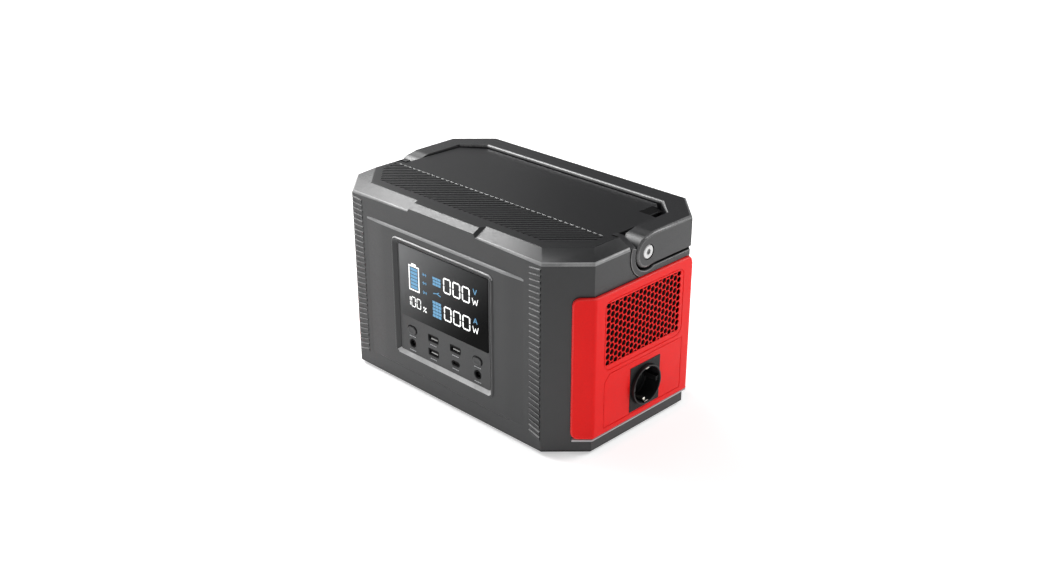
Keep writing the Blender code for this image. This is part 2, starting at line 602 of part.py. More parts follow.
# ---------------------------------------------------------------- mains socket
w, h = SOCKET_PLATE[0] / 2, SOCKET_PLATE[1] / 2
cup_out = CUP_R + CUP_WALL
outline("socket_plate", [rrect(SOCKET_Y - w, SOCKET_Z - h, SOCKET_Y + w, SOCKET_Z + h, 0.8, 1),
                         ngon(SOCKET_Y, SOCKET_Z, cup_out + 0.4, 28)], HALF_W + 0.4, HALF_W + PANEL_PROUD + 0.5, "YZ", "black")
mouth_x = RIGHT_EDGE
floor_x = mouth_x - CUP_DEPTH
cup = turned("socket_insert", [(0, floor_x), (CUP_R, floor_x), (CUP_R, mouth_x), (cup_out - 0.4, mouth_x), (cup_out, mouth_x - 0.6),
                               (cup_out, floor_x - 3), (17.0, floor_x - 3), (17.0, 128.0), (0, 128.0)],
             "X", (0, SOCKET_Y, SOCKET_Z), 28, "black")
for i, d in enumerate((-1, 1), 1):
    cut(cup, turned(f"pin_hole_{i}", rod(PIN_R, 136, 160), "X", (0, SOCKET_Y + d * PIN_SPACING / 2, SOCKET_Z), 10))
for d, tag in ((1, "upper"), (-1, "lower")):
    z0, z1 = sorted((SOCKET_Z + d * (EARTH_R - 1.2), SOCKET_Z + d * EARTH_R))
    clip = box(f"earth_clip_{tag}", (floor_x + 0.3, SOCKET_Y - 2.4, z0), (mouth_x - 1.0, SOCKET_Y + 2.4, z1), "steel")
    z0, z1 = sorted((SOCKET_Z + d * (EARTH_R - 2.6), SOCKET_Z + d * (EARTH_R - 0.6)))
    join(clip, box(f"earth_nib_{tag}", (floor_x + 9.0, SOCKET_Y - 1.8, z0), (floor_x + 12.5, SOCKET_Y + 1.8, z1), None, 0.9, 1,
                   lambda e: abs(e.verts[0].co.y - e.verts[1].co.y) > 1))

# ---------------------------------------------------------------- control front
bz0, bz1 = BEZEL_Z
pad_y = -(HALF_D + PAD_PROUD)
bezel = outline("front_bezel", [rrect(-BEZEL_X, bz0, BEZEL_X, bz1, 7, 4), rrect(-67.1, 38.9, 67.1, 160.5, 4, 3)],
                pad_y - BEZEL_PROUD, pad_y - GAP, "XZ", "housing")
join(bezel, outline("bezel_sleeve", [rrect(-WINDOW_X + GAP, WINDOW_Z[0] + GAP, WINDOW_X - GAP, WINDOW_Z[1] - GAP, 4.7, 3),
                                     rrect(-65.2, 40.9, 65.2, 158.6, 3, 3)], pad_y - 0.6, -96.5, "XZ"))
panel = outline("control_panel", [rrect(-PANEL_HALF_X, CONTROL_Z[0], PANEL_HALF_X, CONTROL_Z[1], 2.7, 3)],
                FLOOR_Y, FLOOR_Y + 3.0, "XZ", "housing")
cut(panel, outline("lens_seat", [rrect(-LENS_X - g, LENS_Z[0] - g, LENS_X + g, LENS_Z[1] + g, 1.5, 2)], FLOOR_Y - 2, FLOOR_Y + 1.0, "XZ"))
cut(panel, box("display_window", (-56, -105, 86), (56, -90, 152)))


def stadium(cx, cz, w, h, n=4):
    return rrect(cx - w / 2, cz - h / 2, cx + w / 2, cz + h / 2, min(w, h) / 2 - 0.01, n)


port_holes = [rrect(-COL_IN - 6.8, ROW_UP - 3.1, -COL_IN + 6.8, ROW_UP + 3.1, 0.6, 1),
              rrect(-COL_IN - 6.8, ROW_DOWN - 3.1, -COL_IN + 6.8, ROW_DOWN + 3.1, 0.6, 1),
              rrect(COL_IN - 6.8, ROW_UP - 3.1, COL_IN + 6.8, ROW_UP + 3.1, 0.6, 1),
              stadium(COL_IN, ROW_DOWN, 9.8, 4.1), ngon(-COL_OUT, ROW_DOWN, 4.8, 16), ngon(COL_OUT, ROW_DOWN, 4.8, 16),
              stadium(-COL_OUT, BUTTON_Z, BUTTON_SIZE[0] + 0.7, BUTTON_SIZE[1] + 0.7),
              stadium(COL_OUT, BUTTON_Z, BUTTON_SIZE[0] + 0.7, BUTTON_SIZE[1] + 0.7)]
cut(panel, outline("port_openings", port_holes, -105, -92, "XZ"))
outline("display_lens", [rrect(-LENS_X, LENS_Z[0], LENS_X, LENS_Z[1], 1.2, 2)], FLOOR_Y - 0.5, FLOOR_Y + 0.7, "XZ", "gloss")
back_y = FLOOR_Y + 3.0
box("lcd_module", (-60, back_y + GAP, 83), (60, back_y + 7, 155), "black")
board_y = -88.9
box("control_board", (-61, board_y, 43), (61, board_y + 1.6, 77), "board")
for x, tag in ((-COL_OUT, "ac"), (COL_OUT, "dc")):
    btn = outline(f"{tag}_button", [stadium(x, BUTTON_Z, *BUTTON_SIZE)], FLOOR_Y - 1.0, back_y + 0.8, "XZ", "housing",
                  (x, back_y, BUTTON_Z))
    join(btn, outline(f"{tag}_button_flange", [stadium(x, BUTTON_Z, BUTTON_SIZE[0] + 2.4, BUTTON_SIZE[1] + 2.4)], back_y + GAP, back_y + 1.4, "XZ"))
    sw_y = back_y + 1.4 + BUTTON_TRAVEL + GAP
    sw = box(f"{tag}_switch", (x - 3, sw_y + 1.2, BUTTON_Z - 3), (x + 3, board_y - GAP, BUTTON_Z + 3), "black")
    join(sw, turned(f"{tag}_plunger", rod(1.7, sw_y, sw_y + 2.0), "Y", (x, 0, BUTTON_Z), 10))
for i, (x, z) in enumerate(((-COL_IN, ROW_UP), (-COL_IN, ROW_DOWN), (COL_IN, ROW_UP)), 1):
    port = outline(f"usb_a_port_{i}", [rrect(x - 6.5, z - 2.8, x + 6.5, z + 2.8, 0.5, 1), rrect(x - 6.05, z - 2.35, x + 6.05, z + 2.35, 0.4, 1)],
                   FLOOR_Y + 0.3, board_y - GAP, "XZ", "steel")
    join(port, box(f"usb_a_back_{i}", (x - 6.3, board_y - 1.8, z - 2.6), (x + 6.3, board_y - 0.5, z + 2.6)),
         box(f"usb_a_tongue_{i}", (x - 5.4, FLOOR_Y + 1.4, z + 0.1), (x + 5.4, board_y - 1.2, z + 1.9)))
port = outline("usb_c_port", [stadium(COL_IN, ROW_DOWN, 9.2, 3.5), stadium(COL_IN, ROW_DOWN, 8.4, 2.7)], FLOOR_Y + 0.3, board_y - GAP, "XZ", "steel")
join(port, box("usb_c_back", (COL_IN - 3.6, board_y - 1.8, ROW_DOWN - 1.6), (COL_IN + 3.6, board_y - 0.5, ROW_DOWN + 1.6)),
     box("usb_c_tongue", (COL_IN - 3.3, FLOOR_Y + 1.4, ROW_DOWN - 0.35), (COL_IN + 3.3, board_y - 1.2, ROW_DOWN + 0.35)))
for x, tag in ((-COL_OUT, "left"), (COL_OUT, "right")):
    y0, y1 = FLOOR_Y + 0.2, board_y - GAP
    turned(f"dc_jack_{tag}", [(0, y1), (4.4, y1), (4.4, y0), (3.3, y0), (3.3, y1 - 2), (1.0, y1 - 2), (1.0, y0 + 2), (0, y0 + 1.4)], "Y", (x, 0, ROW_DOWN), 16, "black")

# ---------------------------------------------------------------- cooling fans
fx0, fx1 = FAN_X
for d, tag in ((-1, "front"), (1, "rear")):
    cy, cz = d * FAN_Y, VENT_Z
    hs = FAN_SIZE / 2
    fan = outline(f"fan_frame_{tag}", [rrect(cy - hs, cz - hs, cy + hs, cz + hs, 4, 2), ngon(cy, cz, FAN_TIP_R + 1.0, 24)], fx0, fx1, "YZ", "black")
    spokes = [box(f"fan_spoke_{tag}_{i}", (fx0, cy - 1.5, cz), (fx0 + 2.0, cy + 1.5, cz + FAN_TIP_R + 1.8)) for i in range(3)]
    for i, sp in enumerate(spokes):
        turn = Matrix.Translation((0, cy, cz)) @ Matrix.Rotation(math.tau * i / 3 + 0.5, 4, "X") @ Matrix.Translation((0, -cy, -cz))
        sp.data.transform(Matrix.Scale(MM, 4) @ turn @ Matrix.Scale(1 / MM, 4))
    join(fan, turned(f"fan_motor_{tag}", rod(11.0, fx0, fx0 + 2.0), "X", (0, cy, cz), 16), *spokes)
    rotor = turned(f"fan_rotor_{tag}", rod(FAN_HUB_R, fx0 + 2.6, fx1 - 1.0), "X", (0, cy, cz), 16, "black", (0, cy, cz))
    blades = bmesh.new()
    for i in range(FAN_BLADES):
        b = box_bm((fx0 + 3.4, -0.6, FAN_HUB_R - 1.5), (fx1 - 2.0, 0.6, FAN_TIP_R))
        mid = Vector(((fx0 + fx1) / 2 + 0.7, 0, 0))
        for v in b.verts:
            twist = math.radians(38 if v.co.z < 15 else 52)
            rel = v.co - mid
            scale = 0.82 if v.co.z < 15 else 1.0
            rel = Vector((rel.x * scale, rel.y, rel.z))
            c, sn = math.cos(twist), math.sin(twist)
            v.co = mid + Vector((rel.x * c - rel.y * sn, rel.x * sn + rel.y * c, rel.z))
        bmesh.ops.transform(b, matrix=Matrix.Translation((0, cy, cz)) @ Matrix.Rotation(math.tau * i / FAN_BLADES, 4, "X"), verts=b.verts)
        me = bpy.data.meshes.new("blade")
        b.to_mesh(me)
        b.free()
        blades.from_mesh(me)
        bpy.data.meshes.remove(me)
    join(rotor, add(f"fan_blades_{tag}", blades))

# ---------------------------------------------------------------- battery
cy = CELL[1] / 2
cell_z = BASE_Z1 + 3.0
for i in range(CELLS):
    x = CELL_X0 + i * CELL_PITCH
    box(f"battery_cell_{i + 1}", (x, -cy, cell_z), (x + CELL[0], cy, cell_z + CELL[2]), "cell", 1.2, 1,
        lambda e: abs(e.verts[0].co.z - e.verts[1].co.z) > 1)
x0, x1 = CELL_X0 - 1.0, CELL_X0 + (CELLS - 1) * CELL_PITCH + CELL[0] + 1.0
zt = cell_z + CELL[2] + 0.5
outline("battery_strap", [[(x0 - 8, BASE_Z1 + 0.4), (x0 - 8, BASE_Z1 + 2.0), (x0 - 1.5, BASE_Z1 + 2.0), (x0 - 1.5, zt + 1.5),
                           (x1 + 1.5, zt + 1.5), (x1 + 1.5, BASE_Z1 + 2.0), (x1 + 8, BASE_Z1 + 2.0), (x1 + 8, BASE_Z1 + 0.4),
                           (x1, BASE_Z1 + 0.4), (x1, zt), (x0, zt), (x0, BASE_Z1 + 0.4)]], -12, 12, "XZ", "alu")
bms_z = cell_z + CELL[2] + 4
box("bms_board", (-140, 20, bms_z), (-20, 66, bms_z + 1.6), "board")
# ---------------------------------------------------------------- inverter
inv_z = 11.3
box("inverter_board", (14, -68, inv_z), (122, 68, inv_z + 1.8), "board")
comb = []
for i in range(7):
    x = 26 + i * 6.0
    comb += [(x, 60.0), (x + 2.0, 60.0), (x + 2.0, 22.0), (x + 6.0, 22.0)] if i < 6 else [(x, 60.0), (x + 2.0, 60.0)]
comb = [(26.0, 16.0)] + comb + [(64.0, 16.0)]
zb = inv_z + 1.8 + GAP
for tag, y0, y1 in (("front", -64, -14), ("rear", 14, 64)):
    outline(f"heat_sink_{tag}", [[(x, z + zb - 16.0) for x, z in comb]], y0, y1, "XZ", "alu")
core = box("transformer", (76, -40, zb), (112, -4, zb + 40), "black", 1.0, 1, lambda e: abs(e.verts[0].co.z - e.verts[1].co.z) > 1)
join(core, turned("transformer_winding", rod(15, -46, 2), "Y", (94, 0, zb + 20), 16))
for dy, tag, key in ((0, "positive", "lead_red"), (14, "negative", "lead_black")):
    y = 36 + dy
    path = [(-26, y, bms_z + 4.2), (-12, y, bms_z + 4.8), (0, y, bms_z + 1.0), (4, y, bms_z - 12), (5, y, 70), (5, y, 40), (8, y, 24),
            (14, y, 18.5), (21, y, 17.2)]
    tube(f"battery_lead_{tag}", path, 2.0, key)
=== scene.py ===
"""Portable power station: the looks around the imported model. Metres; helper shapes are in
millimetres of the housing's own frame and are shifted and scaled by put()."""
import math

import bmesh
import bpy
from mathutils import Matrix, Vector


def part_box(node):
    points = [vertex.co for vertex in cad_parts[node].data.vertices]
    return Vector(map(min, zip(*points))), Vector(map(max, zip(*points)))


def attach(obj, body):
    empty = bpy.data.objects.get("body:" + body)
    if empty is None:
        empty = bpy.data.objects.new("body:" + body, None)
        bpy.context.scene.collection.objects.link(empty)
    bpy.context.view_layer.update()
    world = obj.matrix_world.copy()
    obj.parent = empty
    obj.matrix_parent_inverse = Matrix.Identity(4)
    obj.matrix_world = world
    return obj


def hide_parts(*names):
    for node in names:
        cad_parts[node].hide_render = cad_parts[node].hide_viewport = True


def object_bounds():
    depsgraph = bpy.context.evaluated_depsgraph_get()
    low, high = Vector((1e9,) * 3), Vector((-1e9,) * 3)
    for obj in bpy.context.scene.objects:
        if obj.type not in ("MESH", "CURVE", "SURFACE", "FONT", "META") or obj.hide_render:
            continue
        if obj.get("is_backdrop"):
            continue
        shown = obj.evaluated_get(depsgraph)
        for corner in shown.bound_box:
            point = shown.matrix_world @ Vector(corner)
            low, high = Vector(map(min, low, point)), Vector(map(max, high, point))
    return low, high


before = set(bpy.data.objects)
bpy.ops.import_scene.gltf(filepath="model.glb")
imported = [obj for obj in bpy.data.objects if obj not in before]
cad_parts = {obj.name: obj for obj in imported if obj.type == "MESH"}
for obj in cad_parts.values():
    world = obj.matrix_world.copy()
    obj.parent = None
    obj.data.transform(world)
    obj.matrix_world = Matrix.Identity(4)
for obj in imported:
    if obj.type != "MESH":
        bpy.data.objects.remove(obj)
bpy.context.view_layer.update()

# ------------------------------------------------------------------ where the CAD is
lo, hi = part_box("front_housing")
CX = (lo.x + hi.x) / 2 * 1000
HALF_W = (hi.x - lo.x) / 2 * 1000
SHELL_Z0 = lo.z * 1000
lo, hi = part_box("bottom_cover")
CY = (lo.y + hi.y) / 2 * 1000
HALF_D = (hi.y - lo.y) / 2 * 1000
BASE_Z0 = lo.z * 1000
BASE_Z1 = BASE_Z0 + 2.4
lo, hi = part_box("handle")
TOP_Z = hi.z * 1000
OUT_X = (hi.x - lo.x) / 2 * 1000
OUT_Y = hi.y * 1000 - CY
lo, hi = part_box("handle_bolt_right")
PIVOT_Y = (lo.y + hi.y) / 2 * 1000 - CY
PIVOT_Z = (lo.z + hi.z) / 2 * 1000
BOLT_END = lo.x * 1000 - CX
BOLT_FACE = hi.x * 1000 - CX
lo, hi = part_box("side_panel_right")
PANEL_X = hi.x * 1000 - CX
PANEL_Z = (lo.z * 1000, hi.z * 1000)
lo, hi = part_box("front_bezel")
BEZEL_Y = lo.y * 1000 - CY
BEZEL_X = (hi.x - lo.x) / 2 * 1000
BEZEL_Z = (lo.z * 1000, hi.z * 1000)
lo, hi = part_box("control_panel")
FLOOR_Y = lo.y * 1000 - CY
FLOOR_X = (hi.x - lo.x) / 2 * 1000
FLOOR_Z = (lo.z * 1000, hi.z * 1000)
lo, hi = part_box("display_lens")
LENS_Y = lo.y * 1000 - CY
LENS_X = (hi.x - lo.x) / 2 * 1000
LENS_Z = (lo.z * 1000, hi.z * 1000)
lo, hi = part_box("socket_plate")
SOCKET_Y = (lo.y + hi.y) / 2 * 1000 - CY
SOCKET_Z = (lo.z + hi.z) / 2 * 1000
PLATE = ((hi.y - lo.y) * 500, (hi.z - lo.z) * 500)
PLATE_X = (lo.x * 1000 - CX, hi.x * 1000 - CX)
MOUTH_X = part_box("socket_insert")[1].x * 1000 - CX

CHAMFER = 33.4
WALL = 3.0
GAP = 0.3
BEVEL_Z = 194.3
BROW_X = 45.0
BROW_Z = 198.0
BROW_Y = 93.5
UPPER_X = 151.2
UPPER_Y = 86.7
UPPER_CH = 33.1
SEAM_Y = -20.0
LEDGE_Z = 168.2
PAD_Y = -(HALF_D + 1.15)
WINDOW_X = 69.3
WINDOW_Z = (37.3, 162.1)
DECK_X = 142.6
DECK_BACK_Y = 75.1
DECK_BACK_Z = 199.2
DECK_T = 3.0
RIDGE_END_Y = -27.0
BOSS_R = 15.8
POCKET_R = 18.4
IN_X = 144.4
IN_Y = 77.1
HANDLE_BOTTOM = 171.5

scene = bpy.context.scene
MOVERS = {"handle": "handle", "ac_button": "ac_button", "dc_button": "dc_button"}


# ------------------------------------------------------------------ shape helpers (mm)
def box_bm(lo, hi, bevel=0.0, segments=2):
    bm = bmesh.new()
    bmesh.ops.create_cube(bm, size=1.0)
    lo, hi = Vector(lo), Vector(hi)
    size, mid = hi - lo, (hi + lo) / 2
    for v in bm.verts:
        v.co = Vector((v.co.x * size.x, v.co.y * size.y, v.co.z * size.z)) + mid
    if bevel:
        bmesh.ops.bevel(bm, geom=list(bm.edges), offset=bevel, segments=segments, profile=0.5, affect="EDGES",
                        clamp_overlap=True)
    return bm


def temp(bm):
    me = bpy.data.meshes.new("temp")
    bmesh.ops.recalc_face_normals(bm, faces=bm.faces)
    bm.to_mesh(me)
    bm.free()
    ob = bpy.data.objects.new("temp", me)
    scene.collection.objects.link(ob)
    return ob


def evaluated(ob, weld=1e-4):
    dg = bpy.context.evaluated_depsgraph_get()
    me = bpy.data.meshes.new_from_object(ob.evaluated_get(dg))
    bm = bmesh.new()
    bm.from_mesh(me)
    bmesh.ops.remove_doubles(bm, verts=bm.verts, dist=weld)
    data = ob.data
    bpy.data.objects.remove(ob, do_unlink=True)
    bpy.data.meshes.remove(me)
    if isinstance(data, bpy.types.Curve):
        bpy.data.curves.remove(data)
    else:
        bpy.data.meshes.remove(data)
    return bm


def boolean(a, b, op="DIFFERENCE"):
    """Result of a and b, both used up."""
    oa, ob = temp(a), temp(b)
    mod = oa.modifiers.new("b", "BOOLEAN")
    mod.operation = op
    mod.solver = "EXACT"
    mod.object = ob
    bm = evaluated(oa)
    me = ob.data
    bpy.data.objects.remove(ob, do_unlink=True)
    bpy.data.meshes.remove(me)
    return bm


def merge(*bms):
    out = bmesh.new()
    for bm in bms:
        me = bpy.data.meshes.new("part")
        bmesh.ops.recalc_face_normals(bm, faces=bm.faces)
        bm.to_mesh(me)
        bm.free()
        out.from_mesh(me)
        bpy.data.meshes.remove(me)
    return out


PLANES = {
    "XY": Matrix(((1, 0, 0, 0), (0, 1, 0, 0), (0, 0, 1, 0), (0, 0, 0, 1))),
    "XZ": Matrix(((1, 0, 0, 0), (0, 0, -1, 0), (0, 1, 0, 0), (0, 0, 0, 1))),
    "YZ": Matrix(((0, 0, 1, 0), (1, 0, 0, 0), (0, 1, 0, 0), (0, 0, 0, 1))),
}
NORMAL = {"XY": Vector((0, 0, 1)), "XZ": Vector((0, 1, 0)), "YZ": Vector((1, 0, 0))}


def outline_bm(loops, lo, hi, plane="XY"):
    cu = bpy.data.curves.new("outline", "CURVE")
    cu.dimensions = "2D"
    cu.fill_mode = "BOTH"
    cu.extrude = (hi - lo) / 2
    for loop in loops:
        sp = cu.splines.new("POLY")
        sp.points.add(len(loop) - 1)
        for p, (a, b) in zip(sp.points, loop):
            p.co = (a, b, 0.0, 1.0)
        sp.use_cyclic_u = True
    ob = bpy.data.objects.new("outline", cu)
    scene.collection.objects.link(ob)
    bm = evaluated(ob)
    m = Matrix.Translation(NORMAL[plane] * (lo + hi) / 2) @ PLANES[plane]
    bmesh.ops.transform(bm, matrix=m, verts=bm.verts)
    bmesh.ops.recalc_face_normals(bm, faces=bm.faces)
    return bm


def turned_bm(profile, axis="X", at=(0, 0, 0), steps=32):
    me = bpy.data.meshes.new("profile")
    pts = [(r, 0.0, h) for r, h in profile]
    me.from_pydata(pts, [(i, i + 1) for i in range(len(pts) - 1)], [])
    ob = bpy.data.objects.new("profile", me)
    scene.collection.objects.link(ob)
    sc = ob.modifiers.new("Screw", "SCREW")
    sc.axis = "Z"
    sc.angle = math.tau
    sc.steps = sc.render_steps = steps
    sc.use_merge_vertices = True
    sc.merge_threshold = 1e-4
    bm = evaluated(ob, 1e-4)
    turn = {"Z": Matrix.Identity(4), "X": Matrix.Rotation(math.pi / 2, 4, "Y"),
            "Y": Matrix.Rotation(-math.pi / 2, 4, "X")}[axis]
    bmesh.ops.transform(bm, matrix=Matrix.Translation(Vector(at)) @ turn, verts=bm.verts)
    bmesh.ops.recalc_face_normals(bm, faces=bm.faces)
    return bm


def rod(r, a, b):
    return [(0, b), (r, b), (r, a), (0, a)]


def rrect(x0, y0, x1, y1, r, n=6):
    out = []
    for cx, cy, a0 in ((x1 - r, y1 - r, 0), (x0 + r, y1 - r, 90), (x0 + r, y0 + r, 180), (x1 - r, y0 + r, 270)):
        for i in range(n + 1):
            a = math.radians(a0 + 90 * i / n)
            out.append((cx + r * math.cos(a), cy + r * math.sin(a)))
    return out


def stadium(cx, cz, w, h, n=8):
    return rrect(cx - w / 2, cz - h / 2, cx + w / 2, cz + h / 2, min(w, h) / 2 - 0.01, n)


def ngon(cx, cy, r, n, start=0.0):
    return [(cx + r * math.cos(start + math.tau * i / n), cy + r * math.sin(start + math.tau * i / n))
            for i in range(n)]


def clean(bm, degrees=0.4):
    bmesh.ops.dissolve_limit(bm, angle_limit=math.radians(degrees), verts=bm.verts, edges=bm.edges)
    bmesh.ops.recalc_face_normals(bm, faces=bm.faces)
    return bm


def soften(bm, width, segments=3, angle=25.0, where=None, upto=181.0, dissolve=True):
    """Rounds every edge sharper than the angle, or those that where() picks."""
    if dissolve:
        clean(bm)
    pick = []
    for e in bm.edges:
        if len(e.link_faces) != 2:
            continue
        t = math.degrees(e.calc_face_angle(0.0))
        if angle < t < upto and (where is None or where(e)):
            pick.append(e)
    if pick:
        bmesh.ops.bevel(bm, geom=pick, offset=width, segments=segments, profile=0.5, affect="EDGES",
                        clamp_overlap=True, miter_outer="SHARP")
    bmesh.ops.remove_doubles(bm, verts=bm.verts, dist=1e-3)
    return bm


def put(name, bm, mat, body="housing", replaces=(), sharp=38.0, weighted=True, wear_highlight_above=-1.0, painted_highlight_up=0.0):
    bmesh.ops.recalc_face_normals(bm, faces=bm.faces)
    for f in bm.faces:
        f.smooth = True
    for e in bm.edges:
        e.smooth = not (len(e.link_faces) == 2 and math.degrees(e.calc_face_angle(0.0)) > sharp)
    # mask of narrow convex fillets above a height: partly rubbed wear, mostly a painted highlight on the edges
    wear_highlight = bm.faces.layers.float.new("wear_highlight")
    for f in bm.faces:
        width = 2 * f.calc_area() / max(1e-6, sum(e.calc_length() for e in f.edges))
        if width < 1.2 and f.calc_center_median().z > wear_highlight_above and any(len(e.link_faces) == 2 and math.radians(5) < e.calc_face_angle_signed(0.0) < math.radians(50) for e in f.edges):
            f[wear_highlight] = 1.0
        # painted highlight: narrow faces turned up and forward, as if lit from above, join the mask
        if painted_highlight_up and width < 2.5 and f.normal.z > 0.3 and f.normal.y < -0.2:
            f[wear_highlight] = painted_highlight_up
    bmesh.ops.transform(bm, matrix=Matrix.Scale(0.001, 4) @ Matrix.Translation((CX, CY, 0)), verts=bm.verts)
    me = bpy.data.meshes.new(name)
    bm.to_mesh(me)
    bm.free()
    ob = bpy.data.objects.new(name, me)
    scene.collection.objects.link(ob)
    me.materials.append(mat)
    if weighted:
        wn = ob.modifiers.new("Normals", "WEIGHTED_NORMAL")
        wn.keep_sharp = True
        wn.weight = 80
    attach(ob, body)
    if replaces:
        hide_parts(*replaces)
    return ob


# ------------------------------------------------------------------ materials
def new_mat(name):
    m = bpy.data.materials.new(name)
    m.use_nodes = True
    nt = m.node_tree
    return m, nt, nt.nodes["Principled BSDF"]


def node(nt, kind, **values):
    n = nt.nodes.new(kind)
    for k, v in values.items():
        if k in n.inputs:
            n.inputs[k].default_value = v
        else:
            setattr(n, k, v)
    return n


def noise(nt, scale, detail=3.0, rough=0.5, stretch=None):
    tc = nt.nodes.new("ShaderNodeTexCoord")
    n = node(nt, "ShaderNodeTexNoise", Scale=scale, Detail=detail, Roughness=rough)
    if stretch:
        mp = nt.nodes.new("ShaderNodeMapping")
        mp.inputs["Scale"].default_value = stretch
        nt.links.new(tc.outputs["Object"], mp.inputs["Vector"])
        nt.links.new(mp.outputs["Vector"], n.inputs["Vector"])
    else:
        nt.links.new(tc.outputs["Object"], n.inputs["Vector"])
    return n


def span(nt, source, lo, hi, a=0.3, b=0.7):
    r = nt.nodes.new("ShaderNodeMapRange")
    r.inputs["From Min"].default_value = a
    r.inputs["From Max"].default_value = b
    r.inputs["To Min"].default_value = lo
    r.inputs["To Max"].default_value = hi
    nt.links.new(source, r.inputs["Value"])
    return r.outputs["Result"]


def tint(nt, fac, a, b):
    mx = nt.nodes.new("ShaderNodeMix")
    mx.data_type = "RGBA"
    mx.inputs[6].default_value = (*a, 1)
    mx.inputs[7].default_value = (*b, 1)
    nt.links.new(fac, mx.inputs[0])
    return mx.outputs[2]


def moulded(name, colour, rough=0.5, grain=1700.0, depth=0.03, mottle=0.10, spec=0.5, rough_var=0.06, metallic=0.0,
            stretch=None, coat=0.0, coat_rough=0.2, edge=0.0, edge_rough=0.08, bump_by=0.55):
    """Spark-eroded moulded plastic: a fine grain, cloudy colour, uneven sheen and brighter edges, partly rubbed wear
    and partly a painted highlight.
    """
    m, nt, b = new_mat(name)
    cloud = noise(nt, 22.0, 5.0, 0.6)
    fleck = noise(nt, 520.0, 2.0, 0.5, stretch)
    fine = noise(nt, grain, 2.0, 0.6, stretch)
    dark = tuple(c * (1 - mottle) for c in colour)
    light = tuple(min(1.0, c * (1 + mottle)) for c in colour)
    blend = node(nt, "ShaderNodeMath", operation="ADD")
    nt.links.new(cloud.outputs["Fac"], blend.inputs[0])
    nt.links.new(span(nt, fleck.outputs["Fac"], -0.18, 0.18), blend.inputs[1])
    base = tint(nt, span(nt, blend.outputs[0], 0.0, 1.0, 0.25, 0.75), dark, light)
    sheen = span(nt, fleck.outputs["Fac"], rough - rough_var, rough + rough_var)
    # marked edges get a lighter colour and a glossier finish: rubbed wear and a painted highlight
    if edge:
        at = nt.nodes.new("ShaderNodeAttribute")
        at.attribute_name = "wear_highlight"
        rub_and_highlight = node(nt, "ShaderNodeMath", operation="MULTIPLY")
        nt.links.new(at.outputs["Fac"], rub_and_highlight.inputs[0])
        nt.links.new(span(nt, cloud.outputs["Fac"], 0.45, 1.0, 0.3, 0.6), rub_and_highlight.inputs[1])
        worn_and_lit = nt.nodes.new("ShaderNodeMix")
        worn_and_lit.data_type = "RGBA"
        worn_and_lit.inputs[7].default_value = (*(min(1.0, c + edge * (0.6 if max(colour) < 0.3 else 0.1)) for c in colour), 1)
        nt.links.new(rub_and_highlight.outputs[0], worn_and_lit.inputs[0])
        nt.links.new(base, worn_and_lit.inputs[6])
        base = worn_and_lit.outputs[2]
        less = node(nt, "ShaderNodeMath", operation="MULTIPLY_ADD")
        less.inputs[1].default_value = -edge_rough
        nt.links.new(rub_and_highlight.outputs[0], less.inputs[0])
        nt.links.new(sheen, less.inputs[2])
        sheen = less.outputs[0]
    nt.links.new(base, b.inputs["Base Color"])
    nt.links.new(sheen, b.inputs["Roughness"])
    b.inputs["Metallic"].default_value = metallic
    b.inputs["Specular IOR Level"].default_value = spec
    b.inputs["Coat Weight"].default_value = coat
    b.inputs["Coat Roughness"].default_value = coat_rough
    bump = nt.nodes.new("ShaderNodeBump")
    bump.inputs["Strength"].default_value = bump_by
    bump.inputs["Distance"].default_value = depth * 0.001
    nt.links.new(fine.outputs["Fac"], bump.inputs["Height"])
    nt.links.new(bump.outputs["Normal"], b.inputs["Normal"])
    m.diffuse_color = (*colour, 1)
    return m


def metal(name, colour, rough=0.25, stretch=(1, 1, 12), scale=400.0, depth=0.01):
    m, nt, b = new_mat(name)
    line = noise(nt, scale, 3.0, 0.6, stretch)
    cloud = noise(nt, 60.0, 3.0)
    nt.links.new(tint(nt, cloud.outputs["Fac"], tuple(c * 0.82 for c in colour), tuple(min(1, c * 1.1) for c in colour)),
                 b.inputs["Base Color"])
    nt.links.new(span(nt, line.outputs["Fac"], rough * 0.7, rough * 1.4), b.inputs["Roughness"])
    b.inputs["Metallic"].default_value = 1.0
    bump = nt.nodes.new("ShaderNodeBump")
    bump.inputs["Strength"].default_value = 0.4
    bump.inputs["Distance"].default_value = depth * 0.001
    nt.links.new(line.outputs["Fac"], bump.inputs["Height"])
    nt.links.new(bump.outputs["Normal"], b.inputs["Normal"])
    m.diffuse_color = (*colour, 1)
    return m


